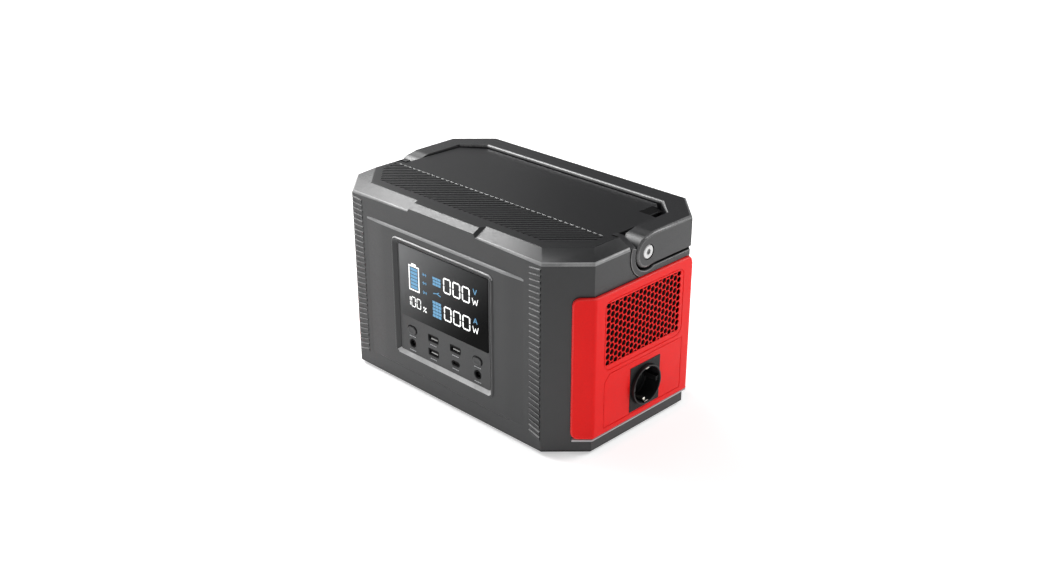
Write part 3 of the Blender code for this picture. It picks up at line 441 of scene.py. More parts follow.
def board(name):
    """Solder mask over copper tracks, with bright pads."""
    m, nt, b = new_mat(name)
    tc = nt.nodes.new("ShaderNodeTexCoord")
    br = nt.nodes.new("ShaderNodeTexBrick")
    br.inputs["Scale"].default_value = 60.0
    br.inputs["Color1"].default_value = (0.012, 0.11, 0.035, 1)
    br.inputs["Color2"].default_value = (0.016, 0.15, 0.05, 1)
    br.inputs["Mortar"].default_value = (0.05, 0.24, 0.08, 1)
    br.inputs["Mortar Size"].default_value = 0.03
    vo = node(nt, "ShaderNodeTexVoronoi", Scale=230.0)
    nt.links.new(tc.outputs["Object"], br.inputs["Vector"])
    nt.links.new(tc.outputs["Object"], vo.inputs["Vector"])
    pads = span(nt, vo.outputs["Distance"], 1.0, 0.0, 0.12, 0.16)
    mx = nt.nodes.new("ShaderNodeMix")
    mx.data_type = "RGBA"
    mx.inputs[7].default_value = (0.7, 0.66, 0.55, 1)
    nt.links.new(pads, mx.inputs[0])
    nt.links.new(br.outputs["Color"], mx.inputs[6])
    nt.links.new(mx.outputs[2], b.inputs["Base Color"])
    nt.links.new(span(nt, vo.outputs["Distance"], 0.3, 0.5, 0.1, 0.5), b.inputs["Roughness"])
    bump = nt.nodes.new("ShaderNodeBump")
    bump.inputs["Strength"].default_value = 0.5
    bump.inputs["Distance"].default_value = 0.00005
    nt.links.new(br.outputs["Fac"], bump.inputs["Height"])
    nt.links.new(bump.outputs["Normal"], b.inputs["Normal"])
    return m


def winding(name):
    m, nt, b = new_mat(name)
    tc = nt.nodes.new("ShaderNodeTexCoord")
    w = node(nt, "ShaderNodeTexWave", Scale=260.0, Distortion=0.6)
    w.bands_direction = "Y"
    nt.links.new(tc.outputs["Object"], w.inputs["Vector"])
    nt.links.new(tint(nt, w.outputs["Fac"], (0.22, 0.07, 0.03), (0.75, 0.36, 0.18)), b.inputs["Base Color"])
    nt.links.new(span(nt, w.outputs["Fac"], 0.5, 0.28, 0, 1), b.inputs["Roughness"])
    b.inputs["Metallic"].default_value = 0.7
    bump = nt.nodes.new("ShaderNodeBump")
    bump.inputs["Strength"].default_value = 0.8
    bump.inputs["Distance"].default_value = 0.0003
    nt.links.new(w.outputs["Fac"], bump.inputs["Height"])
    nt.links.new(bump.outputs["Normal"], b.inputs["Normal"])
    return m


def wrapped_cell(name):
    """Blue shrink film: soft wrinkles and a printed-film sheen."""
    m, nt, b = new_mat(name)
    fold = noise(nt, 30.0, 6.0, 0.65, (3.0, 1.0, 0.5))
    nt.links.new(tint(nt, fold.outputs["Fac"], (0.012, 0.05, 0.22), (0.03, 0.13, 0.42)), b.inputs["Base Color"])
    nt.links.new(span(nt, fold.outputs["Fac"], 0.22, 0.42), b.inputs["Roughness"])
    bump = nt.nodes.new("ShaderNodeBump")
    bump.inputs["Strength"].default_value = 0.5
    bump.inputs["Distance"].default_value = 0.0006
    nt.links.new(fold.outputs["Fac"], bump.inputs["Height"])
    nt.links.new(bump.outputs["Normal"], b.inputs["Normal"])
    return m


def glass_screen(name):
    """Display window: black glass with a painted reflection that makes it lighter towards its upper left corner."""
    m, nt, b = new_mat(name)
    tc = nt.nodes.new("ShaderNodeTexCoord")
    sep = nt.nodes.new("ShaderNodeSeparateXYZ")
    nt.links.new(tc.outputs["Object"], sep.inputs[0])
    # painted reflection: base colour rises towards the upper left
    add = node(nt, "ShaderNodeMath", operation="SUBTRACT")
    nt.links.new(sep.outputs["Z"], add.inputs[0])
    nt.links.new(sep.outputs["X"], add.inputs[1])
    smoke = noise(nt, 30.0, 3.0)
    fac = span(nt, add.outputs[0], 0.0, 1.0, 0.045, 0.215)
    curve = node(nt, "ShaderNodeMath", operation="POWER")
    curve.inputs[1].default_value = 1.8
    nt.links.new(fac, curve.inputs[0])
    both = node(nt, "ShaderNodeMath", operation="MULTIPLY")
    nt.links.new(curve.outputs[0], both.inputs[0])
    nt.links.new(span(nt, smoke.outputs["Fac"], 0.92, 1.0), both.inputs[1])
    nt.links.new(tint(nt, both.outputs[0], (0.0008, 0.0009, 0.0010), (0.20, 0.202, 0.205)), b.inputs["Base Color"])
    fine = noise(nt, 900.0, 2.0)
    nt.links.new(span(nt, fine.outputs["Fac"], 0.12, 0.17), b.inputs["Roughness"])
    b.inputs["Specular IOR Level"].default_value = 0.03
    bump = nt.nodes.new("ShaderNodeBump")
    bump.inputs["Strength"].default_value = 0.1
    bump.inputs["Distance"].default_value = 0.00001
    nt.links.new(fine.outputs["Fac"], bump.inputs["Height"])
    nt.links.new(bump.outputs["Normal"], b.inputs["Normal"])
    return m


def lit(name, colour, strength):
    """Lit display segment, with a faint dot structure."""
    m, nt, b = new_mat(name)
    dots = noise(nt, 1400.0, 1.0)
    b.inputs["Base Color"].default_value = (*colour, 1)
    b.inputs["Roughness"].default_value = 0.4
    nt.links.new(tint(nt, dots.outputs["Fac"], tuple(c * 0.82 for c in colour), colour), b.inputs["Emission Color"])
    b.inputs["Emission Strength"].default_value = strength
    m.diffuse_color = (*colour, 1)
    return m


# edge= sets how much lighter the marked edges are painted: rubbed wear and a painted highlight; the bezel and rib greys
# carry the strongest painted highlight
GREY = moulded("shell_grey", (0.0172, 0.0176, 0.0186), 0.40, 1900.0, 0.020, 0.08, spec=0.46, edge=0.44, edge_rough=0.10)
BEZEL = moulded("bezel_grey", (0.0172, 0.0176, 0.0186), 0.40, 1900.0, 0.020, 0.08, spec=0.46, edge=0.85, edge_rough=0.10)
RIB = moulded("rib_grey", (0.0125, 0.0128, 0.0138), 0.38, 1900.0, 0.015, 0.08, spec=0.42, edge=0.50, edge_rough=0.08)
HANDLE_GREY = moulded("handle_grey", (0.0112, 0.0115, 0.0125), 0.36, 1700.0, 0.015, 0.08, edge=0.20, edge_rough=0.12)
DECK = moulded("deck_grey", (0.0085, 0.0088, 0.0096), 0.30, 2300.0, 0.004, 0.06, spec=0.46, rough_var=0.01, edge=0.03, bump_by=0.12)
RIDGE = moulded("ridge_grey", (0.020, 0.0205, 0.0215), 0.32, 2300.0, 0.005, 0.06, spec=0.5, rough_var=0.02, edge=0.05, bump_by=0.15)
# near-black: the colour of black parts, and painted shade in grooves, gaps and recesses
BLACK_AND_SHADE = moulded("black_and_painted_shade", (0.0022, 0.0022, 0.0024), 0.55, 1500.0, 0.02, 0.15, spec=0.12)
BASE = moulded("base_grey", (0.016, 0.0165, 0.0175), 0.46, 1500.0, 0.03, 0.08, edge=0.05)
PANEL = moulded("panel_grey", (0.0175, 0.0180, 0.0190), 0.42, 2100.0, 0.015, 0.06, edge=0.12)
RED = moulded("side_red", (0.76, 0.0058, 0.0048), 0.36, 1900.0, 0.012, 0.04, spec=0.14, edge=0.25)
BLACK = moulded("socket_black", (0.0065, 0.0065, 0.007), 0.52, 1600.0, 0.02, 0.10, spec=0.22, edge=0.03)
# light grey painted highlight for the edge of the panel seat
SEAT_HIGHLIGHT = moulded("seat_highlight_grey", (0.42, 0.42, 0.43), 0.40, 1600.0, 0.01, 0.05)
# near-black: painted shade seen through the vent holes
VENT_SHADE = moulded("vent_shade_foam", (0.0035, 0.0035, 0.0035), 0.9, 900.0, 0.25, 0.25, spec=0.1)
FAN = moulded("fan_black", (0.008, 0.008, 0.009), 0.5, 900.0, 0.05, 0.12)
RUBBER = moulded("foot_rubber", (0.012, 0.012, 0.012), 0.82, 700.0, 0.12, 0.15, spec=0.25)
NYLON = moulded("washer_nylon", (0.62, 0.61, 0.56), 0.55, 800.0, 0.03, 0.06)
STEEL = metal("zinc_steel", (0.52, 0.52, 0.52), 0.34)
PORT = metal("port_shell", (0.13, 0.13, 0.135), 0.42)
CLIP = metal("clip_nickel", (0.52, 0.50, 0.46), 0.30)
ALU = metal("extruded_alu", (0.66, 0.67, 0.69), 0.38, (1, 30, 1), 300.0, 0.02)
CELL = wrapped_cell("cell_film")
BOARD = board("board_mask")
COIL = winding("coil_winding")
LEAD_RED = moulded("lead_red", (0.55, 0.015, 0.015), 0.45, 500.0, 0.05, 0.12)
LEAD_BLACK = moulded("lead_black", (0.015, 0.015, 0.015), 0.5, 500.0, 0.05, 0.15)
SCREEN = glass_screen("screen_glass")
WHITE_ON = lit("segment_white", (0.86, 0.87, 0.86), 0.85)
BLUE_ON = lit("segment_blue", (0.070, 0.210, 0.35), 0.82)
# light grey: a painted highlight for the lit top edge of the front pad
LINE_HIGHLIGHT = moulded("painted_highlight_grey", (0.20, 0.202, 0.205), 0.34, 1600.0, 0.008, 0.05)
TONGUE = moulded("tongue_white", (0.50, 0.50, 0.49), 0.5, 1200.0, 0.01, 0.05)
PRINT = moulded("print_grey", (0.42, 0.43, 0.44), 0.6, 1200.0, 0.01, 0.05)

# ------------------------------------------------------------------ front shell
low_line = [(HALF_W, SEAM_Y, BEVEL_Z), (HALF_W, -(HALF_D - CHAMFER), BEVEL_Z), (HALF_W - CHAMFER, -HALF_D, BEVEL_Z),
            (BROW_X + 2.4, -HALF_D, BEVEL_Z), (BROW_X, -HALF_D, BROW_Z)]
top_line = [(UPPER_X, SEAM_Y), (UPPER_X, -(UPPER_Y - UPPER_CH)), (UPPER_X - UPPER_CH, -UPPER_Y),
            (BROW_X + 3.0, -UPPER_Y), (BROW_X, -BROW_Y)]
low_line += [(-x, y, z) for x, y, z in reversed(low_line)]
top_line += [(-x, y) for x, y in reversed(top_line)]


def wall_bm(rows, thickness=WALL, out=(0, -50, 0)):
    """Open surface through rows of points, given a wall to its inside."""
    bm = bmesh.new()
    grid = [[bm.verts.new(p) for p in row] for row in rows]
    for r0, r1 in zip(grid, grid[1:]):
        for i in range(len(r0) - 1):
            bm.faces.new((r0[i], r0[i + 1], r1[i + 1], r1[i]))
    me = bpy.data.meshes.new("wall")
    c = Vector(out)
    bm.normal_update()
    if sum(f.normal.dot(f.calc_center_median() - c) for f in bm.faces) < 0:
        bmesh.ops.reverse_faces(bm, faces=bm.faces)
    bm.to_mesh(me)
    bm.free()
    ob = bpy.data.objects.new("wall", me)
    scene.collection.objects.link(ob)
    so = ob.modifiers.new("Wall", "SOLIDIFY")
    so.thickness = thickness
    so.offset = -1.0
    so.use_even_offset = True
    so.use_quality_normals = True
    return evaluated(ob)


def front_shell():
    rows = [[(x, y, SHELL_Z0) for x, y, z in low_line], list(low_line), [(x, y, TOP_Z) for x, y in top_line]]
    bm = wall_bm(rows, WALL, (0, -20, 90))
    clean(bm)

    def outer_shoulder(e):
        return all(abs(v.co.z - BEVEL_Z) < 0.01 and abs(v.co.x) > BROW_X for v in e.verts)

    bm = soften(bm, 2.1, 4, 20.0, outer_shoulder, dissolve=False)
    bm = soften(bm, 0.9, 3, 20.0, lambda e: all(v.co.z > SHELL_Z0 + 1 or abs(v.co.y - SEAM_Y) > 1 for v in e.verts)
                and not all(abs(v.co.y - SEAM_Y) < 0.01 for v in e.verts) and e.calc_length() > 4
                and not all(BEVEL_Z - 2.6 < v.co.z < BEVEL_Z + 2.6 for v in e.verts), dissolve=False)
    mouth = [(x * 1.0004, y * 1.0004) for x, y in top_line]
    mouth = [(mouth[0][0], -5.0)] + mouth + [(mouth[-1][0], -5.0)]
    bm = boolean(bm, outline_bm([mouth], 185, TOP_Z + 12))
    window = lambda: outline_bm([rrect(-WINDOW_X, WINDOW_Z[0], WINDOW_X, WINDOW_Z[1], 5, 6)], -HALF_D - 8, -HALF_D + 12, "XZ")
    bm = boolean(bm, window())
    for s in (1, -1):
        a, b = sorted((s * 145, s * 175))
        bm = boolean(bm, box_bm((a, -52, 86), (b, -10, 152)))
    pad = pad_bm(-1)
    pad = boolean(pad, window())
    return merge(bm, pad)


def pad_bm(side, top=(172.2, 173.3), bottom=(22.0, 20.6), proud=1.15):
    """Raised field whose height dies away towards its ends."""
    xs = [-112, -108, -103, -98, -93, -88, -84, -40, 0, 40, 84, 88, 93, 98, 103, 108, 112]

    def height(x):
        t = max(0.0, min(1.0, (112 - abs(x)) / 28))
        return proud * t * t * (3 - 2 * t)

    rows = ((bottom[1], 0.0), (bottom[0], 1.0), (top[0], 1.0), (top[1], 0.0))
    bm = bmesh.new()
    face = [[bm.verts.new((x, -HALF_D - height(x) * k + 0.12 * (1 - k) + (0.1 if height(x) < 0.01 else 0), z)) for x in xs] for z, k in rows]
    back = [[bm.verts.new((x, -HALF_D + 1.5, z)) for x in xs] for z in (bottom[1], top[1])]
    for r0, r1 in zip(face, face[1:]):
        for i in range(len(xs) - 1):
            bm.faces.new((r0[i], r0[i + 1], r1[i + 1], r1[i]))
    for i in range(len(xs) - 1):
        bm.faces.new((back[0][i], back[0][i + 1], back[1][i + 1], back[1][i]))
        bm.faces.new((face[0][i], face[0][i + 1], back[0][i + 1], back[0][i]))
        bm.faces.new((face[-1][i], face[-1][i + 1], back[1][i + 1], back[1][i]))
    for k in (0, -1):
        bm.faces.new([r[k] for r in face] + [back[1][k], back[0][k]])
    bmesh.ops.recalc_face_normals(bm, faces=bm.faces)
    if side > 0:
        bmesh.ops.rotate(bm, cent=(0, 0, 0), matrix=Matrix.Rotation(math.pi, 3, "Z"), verts=bm.verts)
    return bm


def rib_bank(s):
    """Column of fish-scale ribs beside a corner: each has a narrow lit top and a dark step under it."""
    bm = bmesh.new()
    n, pitch = 30, 5.72
    for i in range(n):
        z = 188.2 - i * pitch
        t = i / (n - 1)
        rise = 1.4 * (1 - t) - 3.4 * t
        xa, xb = 117.0, 130.7
        prof = ((0.3, 0.1), (-1.05, -0.62), (-1.12, -1.0), (-0.25, -4.5), (0.3, -4.75))
        ends = []
        for x, dz, k in ((xa, 0.0, 0.55), (xb, rise, 1.0)):
            ends.append([bm.verts.new((s * x, -HALF_D + (dy * k if dy < 0 else dy), z + dz + h)) for dy, h in prof])
        m = len(prof)
        for j in range(m):
            bm.faces.new((ends[0][j], ends[0][(j + 1) % m], ends[1][(j + 1) % m], ends[1][j]))
        bm.faces.new(ends[0])
        bm.faces.new(list(reversed(ends[1])))
    bmesh.ops.recalc_face_normals(bm, faces=bm.faces)
    return bm


put("front_shell", front_shell(), GREY, replaces=["front_housing"], sharp=30, wear_highlight_above=190)
put("front_ribs", merge(rib_bank(1), rib_bank(-1)), RIB, sharp=30)


# painted highlight: a light grey strip along the top edge of the front pad
bm = pad_bm(-1, (172.5, 173.7), (170.7, 170.4), proud=1.3)
put("front_highlight_line", bm, LINE_HIGHLIGHT, sharp=30)


# ------------------------------------------------------------------ rear shell
def rear_shell():
    line = [(HALF_W, SEAM_Y + 0.06), (HALF_W, HALF_D - CHAMFER), (HALF_W - CHAMFER, HALF_D)]
    ledge = [(126, SEAM_Y + 0.06), (126, 38), (104, 62)]
    line += [(-x, y) for x, y in reversed(line)]
    ledge += [(-x, y) for x, y in reversed(ledge)]
    rows = [[(x, y, SHELL_Z0) for x, y in line], [(x, y, LEDGE_Z) for x, y in line], [(x, y, LEDGE_Z) for x, y in ledge]]
    bm = wall_bm(rows, WALL, (0, 20, 90))
    bm = soften(bm, 0.9, 3, 20.0, lambda e: not all(abs(v.co.y - SEAM_Y - 0.06) < 0.01 for v in e.verts)
                and not all(v.co.z < SHELL_Z0 + 1 for v in e.verts) and e.calc_length() > 4)
    for s in (1, -1):
        a, b = sorted((s * 145, s * 175))
        bm = boolean(bm, box_bm((a, -30, 86), (b, 52, 152)))
        a, b = sorted((s * 143.2, s * 175))
        bm = boolean(bm, turned_bm(rod(17.9, a, b), "X", (0, PIVOT_Y, PIVOT_Z), 56))
    bm = boolean(bm, turned_bm(rod(20.9, 140, 175), "X", (0, SOCKET_Y, SOCKET_Z), 40))
    return merge(bm, pad_bm(1, (162.0, 163.1), proud=0.9))


put("rear_shell", rear_shell(), GREY, replaces=["rear_housing"], sharp=30, wear_highlight_above=169)


# ------------------------------------------------------------------ top cover
def deck():
    g = GAP
    right = [(DECK_X, SEAM_Y - 0.2), (UPPER_X - g, SEAM_Y - 0.2), (UPPER_X - g, -(UPPER_Y - UPPER_CH) - 0.1),
             (UPPER_X - UPPER_CH + 0.1, -UPPER_Y + g), (BROW_X + 3.2, -UPPER_Y + g), (BROW_X + 0.2, -BROW_Y + g)]
    notch = [(117.0, DECK_BACK_Y), (130.5, 61.0), (130.5, 46.5), (DECK_X, 44.0)]
    loop = notch + right + [(-x, y) for x, y in reversed(right)] + [(-DECK_X, 56.6), (-119.5, DECK_BACK_Y)]
    bm = outline_bm([loop], 150, 215, "XY")
    fall = [(-96, TOP_Z), (RIDGE_END_Y, TOP_Z), (RIDGE_END_Y, TOP_Z - 0.7), (80, DECK_BACK_Z - 0.4), (80, DECK_BACK_Z - DECK_T - 0.1),
            (RIDGE_END_Y, TOP_Z - DECK_T), (-96, TOP_Z - DECK_T)]
    bm = boolean(bm, outline_bm([fall], -160, 160, "YZ"), "INTERSECT")
    bm = soften(bm, 0.5, 2, 30.0, lambda e: all(v.co.z > 196.5 for v in e.verts) and not all(abs(v.co.y - RIDGE_END_Y) < 0.01 for v in e.verts))
    # finger notch: the deck dips into it
    bm = boolean(bm, field_bm())
    y0 = 22.5
    skirt = ([(DECK_X, y0), (DECK_X, 44.0), (130.5, 46.5), (130.5, 61.0), (117.0, DECK_BACK_Y), (-119.5, DECK_BACK_Y),
              (-DECK_X, 56.6), (-DECK_X, y0)]
             + [(-140.1, y0), (-140.1, 55.4), (-118.6, 72.6), (115.9, 72.6), (128.0, 60.0), (128.0, 44.4), (140.1, 41.9), (140.1, y0)])
    slope = [(118.5, TOP_Z + 4), (118.5, DECK_BACK_Z + 0.0), (131.5, DECK_BACK_Z - 2.3), (131.5, TOP_Z + 4)]
    bm = boolean(bm, outline_bm([slope], 45.5, 66.5, "XZ"))
    return merge(bm, outline_bm([skirt], LEDGE_Z + GAP, 197.5))


FIELD = [(-147.0, -27.8), (-143.6, -49.5), (-118.0, -75.0), (110.0, -75.0), (141.0, -44.0), (141.0, -27.8)]
RIDGE_DEPTH = 1.5


def field_bm():
    return outline_bm([FIELD], TOP_Z - RIDGE_DEPTH, TOP_Z + 6)


def clip(p, q, loop):
    """Part of the line p-q that is inside a convex loop."""
    t0, t1 = 0.0, 1.0
    d = (q[0] - p[0], q[1] - p[1])
    area = sum(a[0] * b[1] - b[0] * a[1] for a, b in zip(loop, loop[1:] + loop[:1]))
    for a, b in zip(loop, loop[1:] + loop[:1]):
        n = (-(b[1] - a[1]), b[0] - a[0]) if area > 0 else (b[1] - a[1], -(b[0] - a[0]))
        num = (p[0] - a[0]) * n[0] + (p[1] - a[1]) * n[1]
        den = d[0] * n[0] + d[1] * n[1]
        if abs(den) < 1e-9:
            if num < 0:
                return None
            continue
        t = -num / den
        if den > 0:
            t0 = max(t0, t)
        else:
            t1 = min(t1, t)
    if t1 - t0 < 1e-6:
        return None
    return [(p[0] + d[0] * t, p[1] + d[1] * t) for t in (t0, t1)]


def ridges_bm():
    a = math.radians(44.5)
    ux, uy = math.cos(a), math.sin(a)
    bm = bmesh.new()
    for k in range(-30, 45):
        x = k * 7.1 - 2.0
        part = clip((x - 90 * ux / uy, -28 - 90), (x + 4 * ux / uy, -24), FIELD)
        if not part or math.dist(*part) < 3:
            continue
        (xa, ya), (xb, yb) = part
        nx, ny = -uy, ux
        prof = ((-1.35, TOP_Z - RIDGE_DEPTH - 0.2), (-1.15, TOP_Z - 0.3), (-0.8, TOP_Z), (0.8, TOP_Z), (1.15, TOP_Z - 0.3), (1.35, TOP_Z - RIDGE_DEPTH - 0.2))
        ends = [[bm.verts.new((px + nx * w, py + ny * w, z)) for w, z in prof] for px, py in ((xa, ya), (xb, yb))]
        m = len(prof)
        for j in range(m):
            bm.faces.new((ends[0][j], ends[0][(j + 1) % m], ends[1][(j + 1) % m], ends[1][j]))
        bm.faces.new(ends[0])
        bm.faces.new(list(reversed(ends[1])))
    bmesh.ops.recalc_face_normals(bm, faces=bm.faces)
    return bm


put("deck_cover", deck(), DECK, replaces=["top_cover"], sharp=30)
put("deck_ridges", ridges_bm(), RIDGE, sharp=50)
# painted shade: a near-black floor in the grooves between the ridges
floor_loop = [(x * 0.9985, y + (0.08 if y < -50 else -0.02)) for x, y in FIELD]
put("deck_grooves", outline_bm([floor_loop], TOP_Z - RIDGE_DEPTH - 0.1, TOP_Z - RIDGE_DEPTH + 0.05), BLACK_AND_SHADE)
lip = outline_bm([[(-28.9, TOP_Z - RIDGE_DEPTH - 0.1), (-28.5, TOP_Z - 0.75), (-27.9, TOP_Z - 0.15), (-27.5, TOP_Z - 0.02), (-27.1, TOP_Z - 0.05), (-26.8, TOP_Z - 0.6), (-26.8, TOP_Z - RIDGE_DEPTH - 0.1)]], -146.6, 140.6, "YZ")
put("deck_lip", lip, HANDLE_GREY, sharp=50)


# painted shade on the slope of the finger notch
slope = [(118.9, DECK_BACK_Z - 0.75), (118.9, DECK_BACK_Z + 0.08), (131.4, DECK_BACK_Z - 2.1), (131.4, DECK_BACK_Z - 2.5)]
put("notch_slope", outline_bm([slope], 45.7, 66.3, "XZ"), BLACK_AND_SHADE)
# painted shade: a near-black strip on the ledge under the handle
outer = [(HALF_W - 1.3, 22.4), (HALF_W - 1.3, HALF_D - CHAMFER - 0.5), (HALF_W - CHAMFER - 0.5, HALF_D - 1.3)]
inner = [(127.0, 22.4), (127.0, 48.0), (105.0, 66.0)]
loop = outer + [(-x, y) for x, y in reversed(outer)] + [(-x, y) for x, y in inner] + list(reversed(inner))
put("ledge_shade", outline_bm([loop], LEDGE_Z - 0.2, LEDGE_Z + 0.12), BLACK_AND_SHADE)


# ------------------------------------------------------------------ handle and its pivots
def handle():
    d = OUT_X - HALF_W
    plan = [(OUT_X, -18.0), (OUT_X, HALF_D - CHAMFER + 0.41 * d), (HALF_W - CHAMFER + 0.41 * d, OUT_Y)]
    inner = [(IN_X, -18.0), (IN_X, 58.2), (120.8, IN_Y)]
    loop = plan + [(-x, y) for x, y in reversed(plan)] + [(-x, y) for x, y in inner] + list(reversed(inner))
    bm = clean(outline_bm([loop], 160, TOP_Z, "XY"))
    side = [(PIVOT_Y + BOSS_R * math.cos(t), PIVOT_Z + BOSS_R * math.sin(t))
            for t in [math.radians(-90 - 180 * i / 22) for i in range(23)]]
    side = side + [(9.0, 201.2), (14.0, TOP_Z), (120.0, TOP_Z), (120.0, HANDLE_BOTTOM), (14.0, HANDLE_BOTTOM)]
    bm = boolean(bm, outline_bm([side], -180, 180, "YZ"), "INTERSECT")
    clean(bm, 0.5)

    def rim(f):
        return abs(f.normal.x) < 0.1 and (f.normal.z > 0.3 or f.calc_center_median().y < 13.5)

    def flank(f):
        return abs(f.normal.z) < 0.1 and (abs(f.normal.x) > 0.3 or abs(f.normal.y) > 0.9) and not (abs(f.normal.x) < 0.1 and f.calc_center_median().y < 13.5)

    def inside(f):
        c = f.calc_center_median()
        return abs(f.normal.x) > 0.9 and f.normal.x * c.x < 0

    def wanted(e):
        a, b = e.link_faces
        return ((rim(a) and flank(b)) or (rim(b) and flank(a))) and not inside(a) and not inside(b)

    bm = soften(bm, 2.7, 4, 50.0, wanted, dissolve=False)
    bm = soften(bm, 0.8, 2, 38.0, lambda e: e.calc_length() > 5 and (all(v.co.z < 173 for v in e.verts) or inside(e.link_faces[0]) or inside(e.link_faces[1])), dissolve=False)
    for s in (1, -1):
        a, b = sorted((s * 140, s * 172))
        bm = boolean(bm, turned_bm(rod(3.5, a, b), "X", (0, PIVOT_Y, PIVOT_Z), 24))
        a, b = sorted((s * (OUT_X - 2.9), s * 172))
        bm = boolean(bm, turned_bm(rod(7.5, a, b), "X", (0, PIVOT_Y, PIVOT_Z), 40))
    return bm


put("handle_arm", handle(), HANDLE_GREY, "handle", replaces=["handle"], sharp=30)


def bolt(s):
    f = BOLT_FACE
    prof = [(0, f - 0.25), (3.9, f - 0.25), (4.4, f), (5.6, f), (6.5, f - 0.35), (7.0, f - 1.0), (7.0, f - 2.4), (3.2, f - 2.45),
            (3.2, BOLT_END + 0.8), (2.5, BOLT_END), (0, BOLT_END)]
    if s < 0:
        prof = [(r, -h) for r, h in reversed(prof)]
    bm = turned_bm(prof, "X", (0, PIVOT_Y, PIVOT_Z), 40)
    a, b = sorted((s * (f - 2.0), s * (f + 2)))
    bm = boolean(bm, outline_bm([ngon(PIVOT_Y, PIVOT_Z, 3.1, 6, 0.3)], a, b, "YZ"))
    return bm


for s, tag in ((1, "right"), (-1, "left")):
    put(f"pivot_bolt_{tag}", bolt(s), STEEL, replaces=[f"handle_bolt_{tag}"], sharp=30)

    def sp(lo, hi):
        return (lo, hi) if s > 0 else (-hi, -lo)

    prof = [(139.3, LEDGE_Z + GAP), (HALF_W, LEDGE_Z + GAP), (HALF_W, BEVEL_Z), (UPPER_X, TOP_Z), (142.9, TOP_Z),
            (142.9, 197.2), (139.3, 197.2)]
    bm = outline_bm([[(s * x, z) for x, z in prof]], SEAM_Y + 0.06, 22.2, "XZ")
    arc = [(PIVOT_Y + POCKET_R * math.cos(t), PIVOT_Z + POCKET_R * math.sin(t))
           for t in [math.radians(-90 - 90 * i / 12) for i in range(13)]]
    pocket = arc + [(PIVOT_Y - POCKET_R, 215), (40, 215), (40, 150), (PIVOT_Y, 150)]
    bm = boolean(bm, outline_bm([pocket], *sp(143.2, 175), "YZ"))
    a, b = sp(142.4, 175)
    bm = boolean(bm, box_bm((a, PIVOT_Y - POCKET_R, 197.2), (b, 40, 215)))
    bm = soften(bm, 0.6, 2, 30.0, lambda e: e.calc_length() > 1.8 and not all(abs(v.co.y - SEAM_Y) < 0.3 for v in e.verts))
    bm = boolean(bm, turned_bm(rod(3.5, *sp(130, 150)), "X", (0, PIVOT_Y, PIVOT_Z), 24))
    put(f"pivot_bracket_{tag}", bm, GREY, replaces=[f"hinge_bracket_{tag}"], sharp=30, wear_highlight_above=175)
    # raised collar round the boss, running on as the rail under the handle
    ro, ri, low = 24.3, 18.7, PANEL_Z[1] + 0.7
    a0, a1 = math.radians(157), math.pi + math.asin((PIVOT_Z - low) / ro)
    outer = [(PIVOT_Y + ro * math.cos(a0 + (a1 - a0) * i / 16), PIVOT_Z + ro * math.sin(a0 + (a1 - a0) * i / 16)) for i in range(17)]
    a2 = math.tau - math.asin((PIVOT_Z - LEDGE_Z + 0.1) / ri)
    inner = [(PIVOT_Y + ri * math.cos(a2 + (a0 - a2) * i / 24), PIVOT_Z + ri * math.sin(a2 + (a0 - a2) * i / 24)) for i in range(25)]
    rail = [(67.0, low), (67.0, LEDGE_Z - 0.1)]
    bm = clean(outline_bm([outer + rail + inner], *sp(HALF_W - 0.4, HALF_W + 0.8), "YZ"), 0.1)
    bm = soften(bm, 0.4, 2, 60.0, lambda e: all(v.co.x * s > HALF_W + 0.5 for v in e.verts), dissolve=False)
    put(f"pivot_collar_{tag}", bm, GREY, sharp=40)
    # painted shade: a thin near-black ring just proud round the collar, standing for a shadow gap
    rg = ro + 1.15
    a1 = math.pi + math.asin((PIVOT_Z - PANEL_Z[1] - 0.2) / rg)
    ring = [(PIVOT_Y + rg * math.cos(a0 + (a1 - a0) * i / 16), PIVOT_Z + rg * math.sin(a0 + (a1 - a0) * i / 16)) for i in range(17)]
    ring += [(PIVOT_Y + (ro - 0.5) * math.cos(a1 + (a0 - a1) * i / 16), PIVOT_Z + (ro - 0.5) * math.sin(a1 + (a0 - a1) * i / 16)) for i in range(17)]
    put(f"collar_shade_ring_{tag}", outline_bm([ring], *sp(HALF_W - 0.4, HALF_W + 0.1), "YZ"), BLACK_AND_SHADE)


